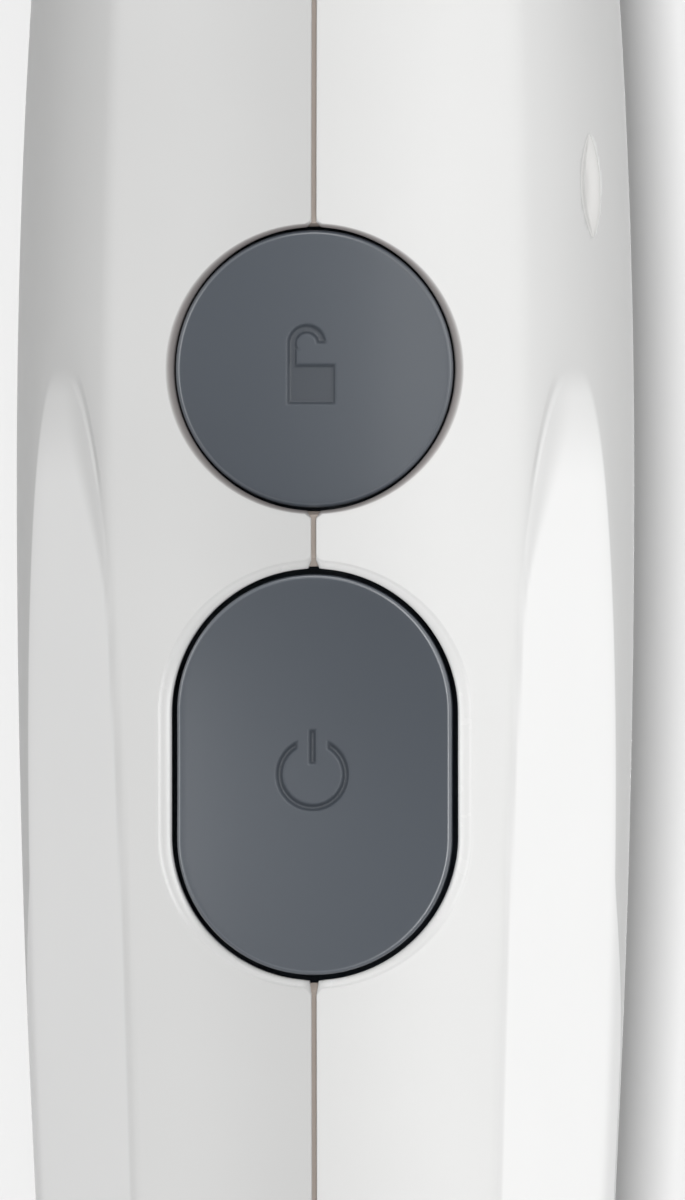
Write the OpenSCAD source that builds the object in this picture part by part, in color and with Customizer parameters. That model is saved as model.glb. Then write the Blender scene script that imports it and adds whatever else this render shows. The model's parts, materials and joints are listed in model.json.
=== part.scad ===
// Cordless hand mixer of the stick kind. It stands on the rim of its blade guard, with the
// mixing shaft along Z and the buttons facing -Y. The grip has a battery, a motor and two
// buttons, and lifts off the mixing shaft once both release buttons are pressed.
// All sizes are in millimetres, and the origin is at the middle of the blade guard's rim.

/* [Mixing shaft] */
// Outer diameter of the blade guard at its rim
bell_d = 64; // [58:1:74]
// Height of the blade guard
bell_h = 39; // [36:1:48]
// Thickness of the blade guard's steel
bell_wall = 1.4; // [1:0.1:2.4]
// Length of bare steel tube between the blade guard and the collar
tube_span = 124; // [90:1:160]
// Outer diameter of the steel tube
tube_d = 21; // [19:0.5:22]
// Wall of the steel tube
tube_wall = 1; // [0.6:0.1:1.5]
// Height of the plastic collar on top of the tube
collar_h = 34; // [30:1:44]
// Diameter of the drive shaft
drive_d = 6; // [5:0.5:7]
// Diameter of the circle that the blade sweeps
blade_span = 44; // [34:1:50]
// Thickness of the blade
blade_t = 1.2; // [0.8:0.1:2]

/* [Grip] */
// Height of the grip from its lower ring to the top of its cap
grip_h = 212; // [205:1:250]
// Width of the grip at its widest level
grip_w = 54; // [52:0.5:60]
// Distance of the widest level below the middle of the unlock button
wide_below = 9.5; // [0:0.5:20]
// Wall of the two grip shells
wall = 2.2; // [1.6:0.1:2.6]
// Width of the groove between the two grip shells
seam = 0.36; // [0.2:0.02:0.8]
// Height of the top cap
cap_h = 12; // [11:0.5:20]
// Height of the lower trim ring
ring_h = 5; // [3:0.5:6]
// How far the lower trim ring stands in from the grip's widest level
ring_inset = 6.2; // [5.6:0.1:8]

/* [Buttons] */
// Width of both buttons, as a share of the grip's width
button_share = 0.4574; // [0.3:0.0001:0.47]
// Distance of the unlock button's middle below the top of the grip
unlock_below_top = 60; // [50:1:70]
// Height of the power button
power_h = 35.7; // [30:0.1:42]
// Distance between the middles of the two buttons
button_pitch = 35.65; // [34:0.05:44]
// Gap round each button
button_gap = 0.35; // [0.2:0.05:0.6]
// Thickness of the buttons' faces
button_face = 2; // [1.2:0.1:2.6]
// Travel of the unlock button
unlock_travel = 1.5; // [0.5:0.1:2]
// Travel of the power button
power_travel = 2; // [0.5:0.1:2.4]
// Depth of the marks in the buttons' faces
mark_depth = 0.35; // [0.1:0.05:0.8]

/* [Release buttons] */
// Diameter of the release buttons
release_d = 10; // [9:0.5:11]
// Travel of the release buttons
release_travel = 1.6; // [1.4:0.1:2]
// How far each latch frame bites under the neck's head
latch_bite = 1.2; // [0.6:0.1:1.3]
// Thickness of each latch frame
latch_t = 2.4; // [1.6:0.1:2.6]

/* [Motor and battery] */
// How far the motor stands in from the grip's widest level
motor_inset = 9.1; // [8.6:0.1:12]
// Diameter of the motor's shaft
motor_shaft_d = 3.2; // [2:0.1:5]
// How far the battery cells stand in from the grip's widest level
cell_inset = 8.6; // [8:0.1:12]
// Length of a battery cell
cell_len = 65; // [50:0.5:70]
// Diameter of the charging jack
jack_d = 8; // [6:0.5:9]

/* [Hidden] */

$fn = 96;
long_fn = 720; // facets of the very large circles
barrel_fn = 360;
eps = 0.01;

// Sizes that follow the grip's width
grip_front = grip_w / 2; // from the middle to the front panel
ring_d = grip_w - 2 * ring_inset;
unlock_d = grip_w * button_share;
power_w = unlock_d;
motor_d = grip_w - 2 * motor_inset;
cell_d = grip_w / 2 - cell_inset;

// Clearances
run = 0.04; // a shaft in its bush, on the radius
fit = 0.1; // parts of one body that plug together
slide = 0.3; // parts that slide past each other

// Levels along Z
tube_end = 25; // lower end of the steel tube
collar_z = bell_h + tube_span;
base_z = collar_z + collar_h;
top_z = base_z + grip_h;
cap_z = top_z - cap_h;
shell_z = base_z + ring_h;
unlock_z = top_z - unlock_below_top;
power_z = unlock_z - button_pitch;
wide_z = unlock_z - wide_below;

// Outline of the grip: each half is bounded by a side barrel and a flatter front barrel,
// with their middles past the seam, and by a flat facet that starts at a point beside the
// unlock button and runs down the corner between them.
side_past = 1.5;
side_y = -2.3;
side_r = grip_w / 2 + side_past;
front_past = 2.4;
front_r = grip_w + 1;
front_y = sqrt(front_r * front_r - front_past * front_past) - grip_front;
up_r = 680; // outline radius above the widest level
down_r = 1200; // outline radius below it, down to taper_z
taper_z = wide_z - 57;
taper = (wide_z - taper_z) / sqrt(down_r * down_r - (wide_z - taper_z) * (wide_z - taper_z));
down_drop = down_r - sqrt(down_r * down_r - (wide_z - taper_z) * (wide_z - taper_z));

// How far the grip's outline has fallen in at height z
function drop(z) =
  z > wide_z ? up_r - sqrt(up_r * up_r - (z - wide_z) * (z - wide_z))
  : z > taper_z ? down_r - sqrt(down_r * down_r - (wide_z - z) * (wide_z - z))
  : down_drop + (taper_z - z) * taper;

facet_dir = 33; // direction of the facet, from the side towards the front
facet_lean = 2.5;
facet_d = side_r * 0.9966; // distance of the facet from the middle at its tip
facet_z = unlock_z;
cap_round = 11; // rounding of the cap's upper edge

// Buttons
hole_bevel = 0.8; // width of the rebate round the unlock button
power_bevel = 1.2; // width of the rebate round the power button
bevel_depth = 0.6;
flange_out = 1.2;
flange_t = 1;
flange_half = max(unlock_d, power_w) / 2 + flange_out;
panel_drop = front_r - sqrt(front_r * front_r - pow(flange_half + front_past, 2));
stem_d = 4;
face_y = -grip_front + 0.2; // the buttons' faces lie just under the panel
flange_y = -grip_front + panel_drop + wall * 1.06 + drop(power_z - power_h / 2 - flange_out) + slide;
bracket_y = flange_y + flange_t + max(unlock_travel, power_travel) + 1.4;
bracket_t = 1.5;
bracket_w = 2 * flange_half + 4.9;
bracket_h = unlock_d / 2 + button_pitch + power_h / 2 + 12;
bracket_z = power_z - power_h / 2 - 6;
board_y = bracket_y + bracket_t + 6.4;
board_t = 1.6;
board_w = bracket_w - 4;
board_h = bracket_h - 8;
board_z = bracket_z + 4;
switch_t = 3.2; // height of a switch with its plunger
post_x = board_w / 2 - 3;
post_ends = [board_z + 4, board_z + board_h - 4];

// Charge indicator on the right side
lens_up = 16; // above the unlock button's middle
lens_dir = 26; // direction on the side barrel, towards the front
lens_w = 4;
lens_h = 9.4;
lens_z = unlock_z + lens_up;
led_x = -wall - 2.4; // back of the light, from the shell's face

// Charging jack
jack_hole_r = 2.75;
jack_pin_r = 0.9;
jack_rim = 1.4;
jack_rim_t = 0.8;
cap_top_t = 2.6;

// Coupling between the grip and the mixing shaft
neck_r = ring_d / 2 - 8.8; // neck that plugs into the grip
socket_r = neck_r + 3.9;
socket_z = base_z + 0.4;
socket_flange_z = shell_z + 2.5;
socket_flange_t = 1.4;
rib_t = 1.5;
socket_rib_z = socket_flange_z + socket_flange_t + fit;
latch_z = socket_rib_z + rib_t + 0.2; // top of the socket, under the latch frames
frame_step = latch_t + 0.2;
left_frame_z = latch_z + 0.2;
right_frame_z = left_frame_z + frame_step;
cover_z = right_frame_z + frame_step;
cover_t = 1.6;
head_z = cover_z + 0.1;
neck_top = head_z + 3;
frame_r = neck_r + 3.2;
tower_r = frame_r + 1.9; // place of the latch screws
spigot_r = neck_r + 5.8;
latch_screw_r = 0.8;
release_r = release_d / 2;
release_z = cover_z + 1.8;
release_spring_z = cover_z + cover_t + 2.1;
flange_x = neck_r + 4.1; // inner face of a release button's flange

// Motor and battery
motor_r = motor_d / 2;
screw_head = 1.8;
plate_z = release_z + release_r + 0.8 + slide + screw_head + 0.4;
plate_t = 3;
plate_r = side_r - wall - drop(plate_z) - norm([side_past, side_y]) - slide;
can_z = plate_z + plate_t;
can_wall = 1.2;
boss_r = 6.5;
boss_h = 2.6;
end_cap_t = 6;
terminal_h = 4; // motor terminals on the end cap
motor_len = bracket_z - 4.3 - (end_cap_t - 1 + terminal_h) - can_z;
end_cap_z = can_z + motor_len;
motor_screw_x = motor_r - 5.4;
motor_screw_r = 1.5;
motor_bush_r = 4.5;
magnet_out = motor_r - can_wall - 0.05;
magnet_in = magnet_out - 3;
core_r = magnet_in - 0.5;
core_z = can_z + 12;
core_h = motor_len - 26;
commutator_r = 4.6;
commutator_z = core_z + core_h + 0.5;
driven_top = neck_top - 2;
shaft_lo = neck_top - 14; // lower end of the motor's shaft and coupling
cradle_z = end_cap_z + end_cap_t + 7;
cradle_t = 2;
cell_z = cradle_z + cradle_t + 0.6;
cell_r = cell_d / 2;
cell_x = cell_r + 0.3;
cell_y = 8;
cradle_h = 2 * cradle_t + cell_len + 1.2;
cell_end_r = 3.6;
cradle_rib_r = 15;
damper_t = 1.4; // rubber ring round the motor
damper_h = 8;
damper_z = can_z + motor_len - 13.5;

// Collar of the mixing shaft, with its flare, and the bushes
collar_low_r = tube_d / 2 + 2;
collar_top_r = ring_d / 2 - 0.4;
flare_z = collar_z + 4;
flare_h = collar_h - 12;
flare_w = collar_top_r - collar_low_r;
flare_r = (flare_w * flare_w + flare_h * flare_h) / (2 * flare_w);
cavity_r = neck_r * 0.72; // room for the coupling in the neck
cavity_z = base_z - 3;
star_r = cavity_r * 0.63; // reach of the star coupling's lobes
tube_socket = 19; // depth that the steel tube goes into the collar
drive_r = drive_d / 2;
upper_bush_r = 6;
upper_bush_h = 8;
upper_bush_z = cavity_z - upper_bush_h - 1;
lower_bush_h = 12;
lower_bush_z = tube_end + 5;
seal_h = 4;
seal_z = tube_end + 0.4;

// Blade guard: a tapered skirt with a round dome
skirt_h = bell_h / 2;
skirt_lean = 2.5;
bell_r = bell_d / 2;
dome_x = bell_r - skirt_lean; // radius where the skirt meets the dome
lean_len = sqrt(skirt_lean * skirt_lean + skirt_h * skirt_h);
// The dome's circle meets the skirt without a crease and tops out at bell_h
dome_r = (bell_h - skirt_h) / (1 - skirt_lean / lean_len);
dome_mid_x = dome_x - dome_r * skirt_h / lean_len;
dome_mid_z = skirt_h - dome_r * skirt_lean / lean_len;
blade_z = 13;
hub_d = 11;
wing_x = hub_d / 2 - 0.8; // where the wings leave the hub
wing_tilt = 12;
nut_h = 4;

// Colours
white = "#ececea";
dark_grey = "#5c636b";
steel = "#c4c6c8";
black = "#26272a";
brass = "#b99a5b";
board_green = "#2f6b46";

// ---- Shapes that several pieces share ----

// Solid of revolution with the grip's long outline, of radius r at the widest level
module barrel(r) {
  rotate_extrude($fn = barrel_fn)
    union() {
      intersection() {
        translate([r - up_r, wide_z]) circle(r = up_r, $fn = long_fn);
        translate([0, wide_z]) square([r, top_z - wide_z]);
      }
      intersection() {
        translate([r - down_r, wide_z]) circle(r = down_r, $fn = long_fn);
        translate([0, taper_z]) square([r, wide_z - taper_z]);
      }
      polygon([[0, base_z], [r - drop(base_z), base_z], [r - down_drop, taper_z], [0, taper_z]]);
    }
}

// Right half of the grip, solid, from z_low to z_high, with its faces moved in by inset
module right_half(inset, z_low, z_high) {
  intersection() {
    translate([-side_past, side_y, 0]) barrel(side_r - inset);
    translate([-front_past, front_y, 0]) barrel(front_r - inset);
    rotate([0, 0, -facet_dir])
      translate([facet_d - inset, 0, facet_z])
        rotate([0, facet_lean, 0])
          translate([-2 * grip_w, -grip_w, -grip_h]) cube([2 * grip_w, 2 * grip_w, 2 * grip_h]);
    translate([0, -grip_w, z_low]) cube([grip_w, 2 * grip_w, z_high - z_low]);
  }
}

// Both halves of the grip as one solid
module whole_grip(inset, z_low, z_high) {
  right_half(inset, z_low, z_high);
  mirror([1, 0, 0]) right_half(inset, z_low, z_high);
}

// Cylinder along Y, from y_low to y_high, at height z
module bar_y(r, y_low, y_high, x = 0, z = 0) {
  translate([x, y_low, z]) rotate([-90, 0, 0]) cylinder(r = r, h = y_high - y_low);
}

// Cylinder along X, from x_low to x_high, at height z
module bar_x(r, x_low, x_high, y = 0, z = 0) {
  translate([x_low, y, z]) rotate([0, 90, 0]) cylinder(r = r, h = x_high - x_low);
}

// Upright plate with round ends, from y_low to y_high, r in half-width
module long_bar_y(r, half_h, y_low, y_high, z) {
  for (end = [-1, 1]) bar_y(r, y_low, y_high, 0, z + end * (half_h - r));
  translate([-r, y_low, z - half_h + r]) cube([2 * r, y_high - y_low, 2 * (half_h - r)]);
}

// Ring of rectangular section
module tube(r_out, r_in, z, h) {
  translate([0, 0, z])
    difference() {
      cylinder(r = r_out, h = h);
      translate([0, 0, -eps]) cylinder(r = r_in, h = h + 2 * eps);
    }
}

// Compression spring along +Z from the origin: a round wire swept along a helix
module spring(r, length, wire_r, turns) {
  sides = 6;
  steps = 16;
  count = turns * steps;
  rise = (length - 2 * wire_r) / count;
  points = [
    for (i = [0 : count], j = [0 : sides - 1])
      let (turn = i * 360 / steps, tilt = j * 360 / sides, reach = r + wire_r * cos(tilt))
        [reach * cos(turn), reach * sin(turn), wire_r + i * rise + wire_r * sin(tilt)]
  ];
  walls = [
    for (i = [0 : count - 1], j = [0 : sides - 1])
      let (a = i * sides + j, b = i * sides + (j + 1) % sides)
        [a, b, b + sides, a + sides]
  ];
  start = [for (j = [0 : sides - 1]) sides - 1 - j];
  end = [for (j = [0 : sides - 1]) count * sides + j];
  polyhedron(points = points, faces = concat([start], walls, [end]), convexity = 8);
}

// Flat ring inside the right shell, behind y_low, with a round opening of radius r
module shell_rib(z, t, r, y_low = -grip_w) {
  difference() {
    intersection() {
      right_half(wall - eps, z, z + t);
      translate([seam / 2, y_low, z - 1]) cube([grip_w, 3 * grip_w, t + 2]);
    }
    translate([0, 0, z - 1]) cylinder(r = r, h = t + 2);
  }
}

// ---- Grip shells ----

// Holes for the buttons, grown by extra, down to the flanges
module unlock_hole(extra) {
  bar_y(unlock_d / 2 + button_gap + extra, -grip_front - 1, flange_y, 0, unlock_z);
}

module power_hole(extra) {
  grow = button_gap + extra;
  long_bar_y(power_w / 2 + grow, power_h / 2 + grow, -grip_front - 1, flange_y, power_z);
}

// Rail that holds one edge of the button bracket
module bracket_rail() {
  slot = bracket_t + 2 * fit;
  difference() {
    intersection() {
      right_half(wall - eps, bracket_z + 4, lens_z - 10);
      translate([bracket_w / 2 - 1.4, bracket_y - 1.8, base_z]) cube([grip_w, slot + 3.4, grip_h]);
    }
    translate([0, bracket_y - fit, base_z]) cube([bracket_w / 2 + fit, slot, grip_h]);
  }
}

module right_half_shell() {
  difference() {
    union() {
      difference() {
        right_half(0, shell_z, cap_z);
        right_half(wall, shell_z - 1, cap_z + 1);
        translate([-1, -grip_w, base_z]) cube([1 + seam / 2, 2 * grip_w, grip_h]);
      }
      shell_rib(socket_rib_z, rib_t, socket_r + fit);
      shell_rib(plate_z - rib_t - fit, rib_t, plate_r - 2);
      shell_rib(can_z + fit, rib_t, motor_r + 0.4);
      shell_rib(damper_z + 1.5, damper_h - 3, motor_r + damper_t + fit);
      shell_rib(cradle_z - rib_t - fit, rib_t, cradle_rib_r, cell_y - cell_r);
      shell_rib(cradle_z + cradle_h + fit, rib_t, cradle_rib_r, cell_y - cell_r);
      bracket_rail();
    }
    unlock_hole(0);
    power_hole(0);
    // Rebates that follow the panel round the two holes
    difference() {
      union() {
        unlock_hole(hole_bevel);
        power_hole(power_bevel);
      }
      right_half(bevel_depth, shell_z, cap_z);
    }
    bar_x(release_r + slide, 10, grip_w, 0, release_z);
  }
}

module left_shell() {
  color(white) mirror([1, 0, 0]) right_half_shell();
}

module right_shell() {
  color(white)
    union() {
      difference() {
        right_half_shell();
        at_lens() lens_prism(fit, -wall - 3, 3);
      }
      indicator_posts();
    }
}

// ---- Charge indicator on the right side ----

// Moves a shape from the origin to the lens's place, with +X pointing out of the shell
module at_lens() {
  translate([-side_past, side_y, lens_z])
    rotate([0, 0, -lens_dir])
      translate([side_r - drop(lens_z), 0, 0]) children();
}

// Pointed oval along X, between two depths measured from the shell's face
module lens_prism(grow, x_low, x_high) {
  arc_r = (lens_h * lens_h / 4 + lens_w * lens_w / 4) / lens_w;
  intersection_for(side = [-1, 1])
    translate([x_low, side * (arc_r - lens_w / 2), 0])
      rotate([0, 90, 0]) cylinder(r = arc_r + grow, h = x_high - x_low, $fn = barrel_fn);
}

module indicator_lens() {
  color("#f6f6f2") at_lens() lens_prism(0, -wall - 0.6, 0.1);
}

module indicator_led() {
  color("#f0e7b8") at_lens() translate([led_x, -1.4, -1.6]) cube([1.4, 2.8, 3.2]);
}

module indicator_board() {
  color(board_green) at_lens() translate([led_x - 1, -3, -8]) cube([1, 6, 16]);
}

// Two posts on the right shell that carry the indicator board
module indicator_posts() {
  intersection() {
    at_lens()
      for (end = [-1, 1]) translate([led_x, -2, end * 6.6 - 1]) cube([4, 4, 2]);
    right_half(wall - eps, base_z, cap_z);
  }
}

// ---- Cap, ring and charging jack ----

module cap_dome(inset) {
  r = side_r - side_past / 2 - inset;
  intersection() {
    whole_grip(inset, cap_z + 0.3, top_z);
    translate([0, side_y + side_past, 0])
      rotate_extrude()
        union() {
          square([r - cap_round, top_z - inset]);
          square([r + 2, top_z - cap_round]);
          translate([r - cap_round, top_z - cap_round])
            intersection() {
              circle(r = cap_round - inset);
              square([cap_round, cap_round]);
            }
        }
  }
}

module top_cap() {
  color(white)
    difference() {
      union() {
        cap_dome(0);
        whole_grip(wall + fit, cap_z - 4, cap_z + 0.3 + eps);
      }
      intersection() {
        whole_grip(wall + fit + 1.6, cap_z - 5, top_z);
        translate([0, 0, cap_z - 5]) cylinder(r = grip_w, h = cap_h + 5 - cap_top_t);
        cylinder(r = side_r - 8, h = top_z);
      }
      translate([0, 0, cap_z]) cylinder(r = jack_d / 2 + fit, h = cap_h + 1);
    }
}

module charge_jack() {
  color(black)
    difference() {
      union() {
        translate([0, 0, cap_z - 1]) cylinder(d = jack_d, h = cap_h + 1);
        translate([0, 0, top_z]) cylinder(r = jack_d / 2 + jack_rim, h = jack_rim_t);
      }
      tube(jack_hole_r, jack_pin_r, cap_z + 2, cap_h);
      translate([0, 0, top_z]) cylinder(r = jack_hole_r, h = jack_rim_t + 1);
    }
}

module jack_nut() {
  color(steel)
    translate([0, 0, top_z - cap_top_t - 2.2])
      difference() {
        cylinder(r = jack_d / 2 + 2.4, h = 2, $fn = 6);
        translate([0, 0, -1]) cylinder(r = jack_d / 2 + 0.05, h = 4);
      }
}

module lower_ring() {
  color(steel)
    difference() {
      union() {
        tube(ring_d / 2, socket_r + 0.05, base_z + 0.2, ring_h - 0.2);
        tube(spigot_r, socket_r + 0.05, shell_z - eps, 2.4);
      }
      translate([0, 0, base_z]) tube(ring_d, ring_d / 2 - 0.5, -0.1, 0.6);
    }
}

// ---- Coupling to the mixing shaft ----

module shaft_socket() {
  color(black)
    difference() {
      union() {
        tube(socket_r, neck_r + slide, socket_z, latch_z - socket_z);
        tube(spigot_r, neck_r + slide, socket_flange_z, socket_flange_t);
        intersection() {
          tube(tower_r + 1.3, frame_r + 0.7, socket_rib_z + rib_t, cover_z - socket_rib_z - rib_t);
          translate([-5, -grip_w, 0]) cube([10, 2 * grip_w, top_z]);
        }
      }
      for (side = [-1, 1])
        translate([0, side * tower_r, latch_z + 0.6]) cylinder(r = latch_screw_r, h = 10);
    }
}

module latch_cover() {
  color(black)
    difference() {
      union() {
        tube(spigot_r + 0.2, neck_r + slide, cover_z, cover_t);
        for (side = [-1, 1])
          translate([side * (neck_r + 1) - 0.6, -3, cover_z + cover_t - eps]) cube([1.2, 6, 4.6]);
      }
      for (side = [-1, 1]) {
        translate([0, side * tower_r, cover_z - 1]) cylinder(r = latch_screw_r + slide, h = 4);
        // Room for the release buttons' flanges
        translate([side * (flange_x - release_travel - 0.4 + 5) - 5, -10, cover_z - 1])
          cube([10, 20, cover_t + 2]);
      }
    }
}

module latch_screws() {
  color(steel)
    for (side = [-1, 1])
      translate([0, side * tower_r, 0]) {
        translate([0, 0, latch_z + 0.7])
          cylinder(r = latch_screw_r - 0.02, h = cover_z + cover_t - latch_z - 0.7);
        translate([0, 0, cover_z + cover_t]) cylinder(r = 1.7, h = 1);
      }
}

// Release button on the right side, with the latch frame that hooks on the far side of the
// neck. Pressing it moves the whole piece towards -X.
module release_button(frame_z) {
  shell_x = side_r - side_past - drop(release_z);
  hook_t = 1.9;
  arm_w = 8.4;
  pad_bevel = 0.6;
  color(dark_grey)
    difference() {
      union() {
        // Pad with a bevelled edge
        translate([0, 0, release_z])
          rotate([0, 90, 0])
            rotate_extrude()
              polygon([
                [0, flange_x + 0.5],
                [release_r, flange_x + 0.5],
                [release_r, shell_x + 0.2],
                [release_r - pad_bevel, shell_x + 0.2 + pad_bevel],
                [0, shell_x + 0.2 + pad_bevel]
              ]);
        // Flange behind the shell, with its arm down to the frame
        bar_x(release_r + 0.8, flange_x, flange_x + flange_t, 0, release_z);
        translate([flange_x + 0.1, -arm_w / 2, frame_z + 0.3])
          cube([flange_t - 0.2, arm_w, release_z - frame_z]);
        // Frame round the neck
        difference() {
          union() {
            intersection() {
              translate([0, 0, frame_z]) cylinder(r = frame_r, h = latch_t);
              translate([latch_bite - neck_r - hook_t, -grip_w, frame_z]) cube([grip_w, 2 * grip_w, latch_t]);
            }
            translate([0, -arm_w / 2 - 0.3, frame_z]) cube([flange_x + flange_t, arm_w + 0.6, latch_t]);
          }
          translate([0, 0, frame_z - 1]) {
            cylinder(r = neck_r - latch_bite, h = latch_t + 2);
            translate([release_travel + 0.2, 0, 0]) cylinder(r = neck_r + slide, h = latch_t + 2);
          }
        }
      }
      bar_x(1.9, flange_x - 3, flange_x + 2.6, 0, release_spring_z);
    }
}

module right_release_button() {
  release_button(right_frame_z);
}

module left_release_button() {
  mirror([1, 0, 0]) release_button(left_frame_z);
}

module release_spring() {
  seat = neck_r + 1.6;
  color(steel)
    translate([seat, 0, release_spring_z])
      rotate([0, 90, 0]) spring(1.3, flange_x + 2.6 - seat, 0.22, 6);
}

module right_release_spring() {
  release_spring();
}

module left_release_spring() {
  mirror([1, 0, 0]) release_spring();
}

// ---- Buttons ----

// Open padlock, drawn in X and Z round its middle
module padlock_mark() {
  body_w = 4.2;
  body_h = 3.5;
  stroke = 0.75;
  bow_r = 1.55;
  translate([-body_w / 2, -3.5]) square([body_w, body_h]);
  translate([-body_w / 2, -eps]) square([stroke, 1.6]);
  translate([-body_w / 2 + bow_r + 0.02, 1.6])
    difference() {
      circle(r = bow_r);
      circle(r = bow_r - stroke);
      translate([-3, -6]) square([6, 6]);
    }
}

// Ring with a bar through its open top, drawn in X and Z round its middle
module power_mark() {
  ring_r = 3.2;
  stroke = 0.62;
  difference() {
    circle(r = ring_r);
    circle(r = ring_r - stroke);
    translate([0, ring_r]) square([2.6, 2 * ring_r], center = true);
  }
  translate([-stroke / 2, 0.9]) square([stroke, 3]);
}

// Cuts a flat mark into a face at level y, at height z
module engrave(y, z) {
  translate([0, y + mark_depth, z]) rotate([90, 0, 0]) linear_extrude(height = 3) children();
}

module unlock_button() {
  r = unlock_d / 2;
  crown_r = 110;
  stem_y = board_y - switch_t - 0.1 - unlock_travel;
  color(dark_grey)
    difference() {
      union() {
        intersection() {
          bar_y(r, face_y - 1, flange_y + eps, 0, unlock_z);
          translate([0, face_y + crown_r, unlock_z]) sphere(r = crown_r, $fn = 240);
          translate([0, front_y, unlock_z - r - 1]) cylinder(r = front_y - face_y, h = unlock_d + 2, $fn = barrel_fn);
        }
        bar_y(r + flange_out, flange_y, flange_y + flange_t, 0, unlock_z);
      }
      difference() {
        bar_y(r - 1.6, face_y + button_face + 0.6, bracket_y, 0, unlock_z);
        bar_y(stem_d / 2, face_y, bracket_y + 1, 0, unlock_z);
      }
      engrave(face_y, unlock_z + 0.2) padlock_mark();
    }
  color(dark_grey) bar_y(stem_d / 2, face_y + button_face, stem_y, 0, unlock_z);
}

module power_button() {
  r = power_w / 2;
  half_h = power_h / 2;
  dish_r = 70;
  stem_y = board_y - switch_t - 0.1 - power_travel;
  color(dark_grey)
    difference() {
      union() {
        intersection() {
          long_bar_y(r, half_h, face_y, flange_y + eps, power_z);
          translate([0, front_y, power_z - half_h - 1]) cylinder(r = front_y - face_y, h = power_h + 2, $fn = barrel_fn);
        }
        long_bar_y(r + flange_out, half_h + flange_out, flange_y, flange_y + flange_t, power_z);
      }
      // Finger dish in the face
      translate([0, face_y - dish_r + 0.8, power_z]) sphere(r = dish_r, $fn = 240);
      difference() {
        long_bar_y(r - 1.6, half_h - 1.6, face_y + button_face + 1, bracket_y, power_z);
        bar_y(stem_d / 2, face_y, bracket_y + 1, 0, power_z);
      }
      engrave(face_y + 0.8, power_z) power_mark();
    }
  color(dark_grey) bar_y(stem_d / 2, face_y + button_face + 0.5, stem_y, 0, power_z);
}

module button_spring(z, y_low) {
  color(steel)
    translate([0, y_low, z]) rotate([-90, 0, 0]) spring(stem_d / 2 + 1.1, bracket_y - y_low, 0.3, 6);
}

module unlock_spring() {
  button_spring(unlock_z, face_y + button_face + 0.6);
}

module power_spring() {
  button_spring(power_z, face_y + button_face + 1);
}

module button_bracket() {
  color(black)
    difference() {
      union() {
        translate([-bracket_w / 2, bracket_y, bracket_z]) cube([bracket_w, bracket_t, bracket_h]);
        for (side = [-1, 1], z = post_ends) bar_y(2.2, bracket_y, board_y, side * post_x, z);
      }
      for (z = [unlock_z, power_z]) bar_y(stem_d / 2 + slide / 2, bracket_y - 1, bracket_y + 4, 0, z);
      for (side = [-1, 1], z = post_ends) bar_y(0.9, board_y - 4, board_y + 1, side * post_x, z);
    }
}

module control_board() {
  color(board_green)
    difference() {
      translate([-board_w / 2, board_y, board_z]) cube([board_w, board_t, board_h]);
      for (side = [-1, 1], z = post_ends) bar_y(1.2, board_y - 1, board_y + 3, side * post_x, z);
    }
}

module board_screws() {
  color(steel)
    for (side = [-1, 1], z = post_ends) {
      bar_y(0.88, board_y - 3.6, board_y + board_t, side * post_x, z);
      bar_y(1.9, board_y + board_t, board_y + board_t + 1.1, side * post_x, z);
    }
}

// Push switch that stands on the control board, with its plunger towards -Y
module push_switch(z) {
  body_t = switch_t - 0.8;
  color(black) translate([-3, board_y - body_t, z - 3]) cube([6, body_t, 6]);
  color("#b8553c") bar_y(1.6, board_y - switch_t, board_y - body_t + eps, 0, z);
}

module unlock_switch() {
  push_switch(unlock_z);
}

module power_switch() {
  push_switch(power_z);
}

// ---- Battery ----

module battery_cells() {
  color("#3f7fb5")
    for (side = [-1, 1])
      translate([side * cell_x, cell_y, cell_z]) {
        cylinder(r = cell_r, h = cell_len - 1);
        cylinder(r = cell_end_r, h = cell_len);
      }
}

module battery_cradle() {
  depth = cell_r + 2;
  color(black)
    difference() {
      intersection() {
        translate([-grip_w, cell_y - depth, cradle_z]) cube([2 * grip_w, depth + cell_r * 0.6, cradle_h]);
        whole_grip(wall + slide, base_z, top_z);
        translate([-2 * cell_r - 2, -grip_w, base_z]) cube([4 * cell_r + 4, 2 * grip_w, grip_h]);
      }
      for (side = [-1, 1])
        translate([side * cell_x, cell_y, cradle_z + cradle_t]) cylinder(r = cell_r + 0.3, h = cell_len + 1.2);
      translate([-cell_x, cell_y, cradle_z + cradle_t]) cube([2 * cell_x, cell_r, cell_len + 1.2]);
      translate([-cell_x, cell_y - 4, cradle_z + cradle_t]) cube([2 * cell_x, 8, 1.2]);
    }
}

module battery_tabs() {
  tab_t = 0.3;
  tab_w = 7;
  color(steel) {
    translate([-cell_x - 3, cell_y - tab_w / 2, cell_z - tab_t]) cube([2 * cell_x + 6, tab_w, tab_t]);
    for (side = [-1, 1])
      translate([side * cell_x - 3, cell_y - tab_w / 2, cell_z + cell_len]) cube([6, tab_w, tab_t]);
  }
}

// ---- Motor ----

module motor_can() {
  color(steel)
    difference() {
      union() {
        translate([0, 0, can_z]) cylinder(r = motor_r, h = motor_len);
        translate([0, 0, can_z - boss_h]) cylinder(r = boss_r, h = boss_h + eps);
      }
      translate([0, 0, can_z + can_wall]) cylinder(r = motor_r - can_wall, h = motor_len);
      translate([0, 0, can_z - boss_h - 1]) cylinder(r = motor_bush_r, h = boss_h + can_wall + 2);
      for (side = [-1, 1]) translate([side * motor_screw_x, 0, can_z - 1]) cylinder(r = motor_screw_r, h = 4);
    }
}

module motor_magnets() {
  color("#4a4642")
    difference() {
      tube(magnet_out, magnet_in, can_z + 8, motor_len - 16);
      translate([-8, -motor_d, can_z]) cube([16, 2 * motor_d, motor_len]);
    }
}

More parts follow.
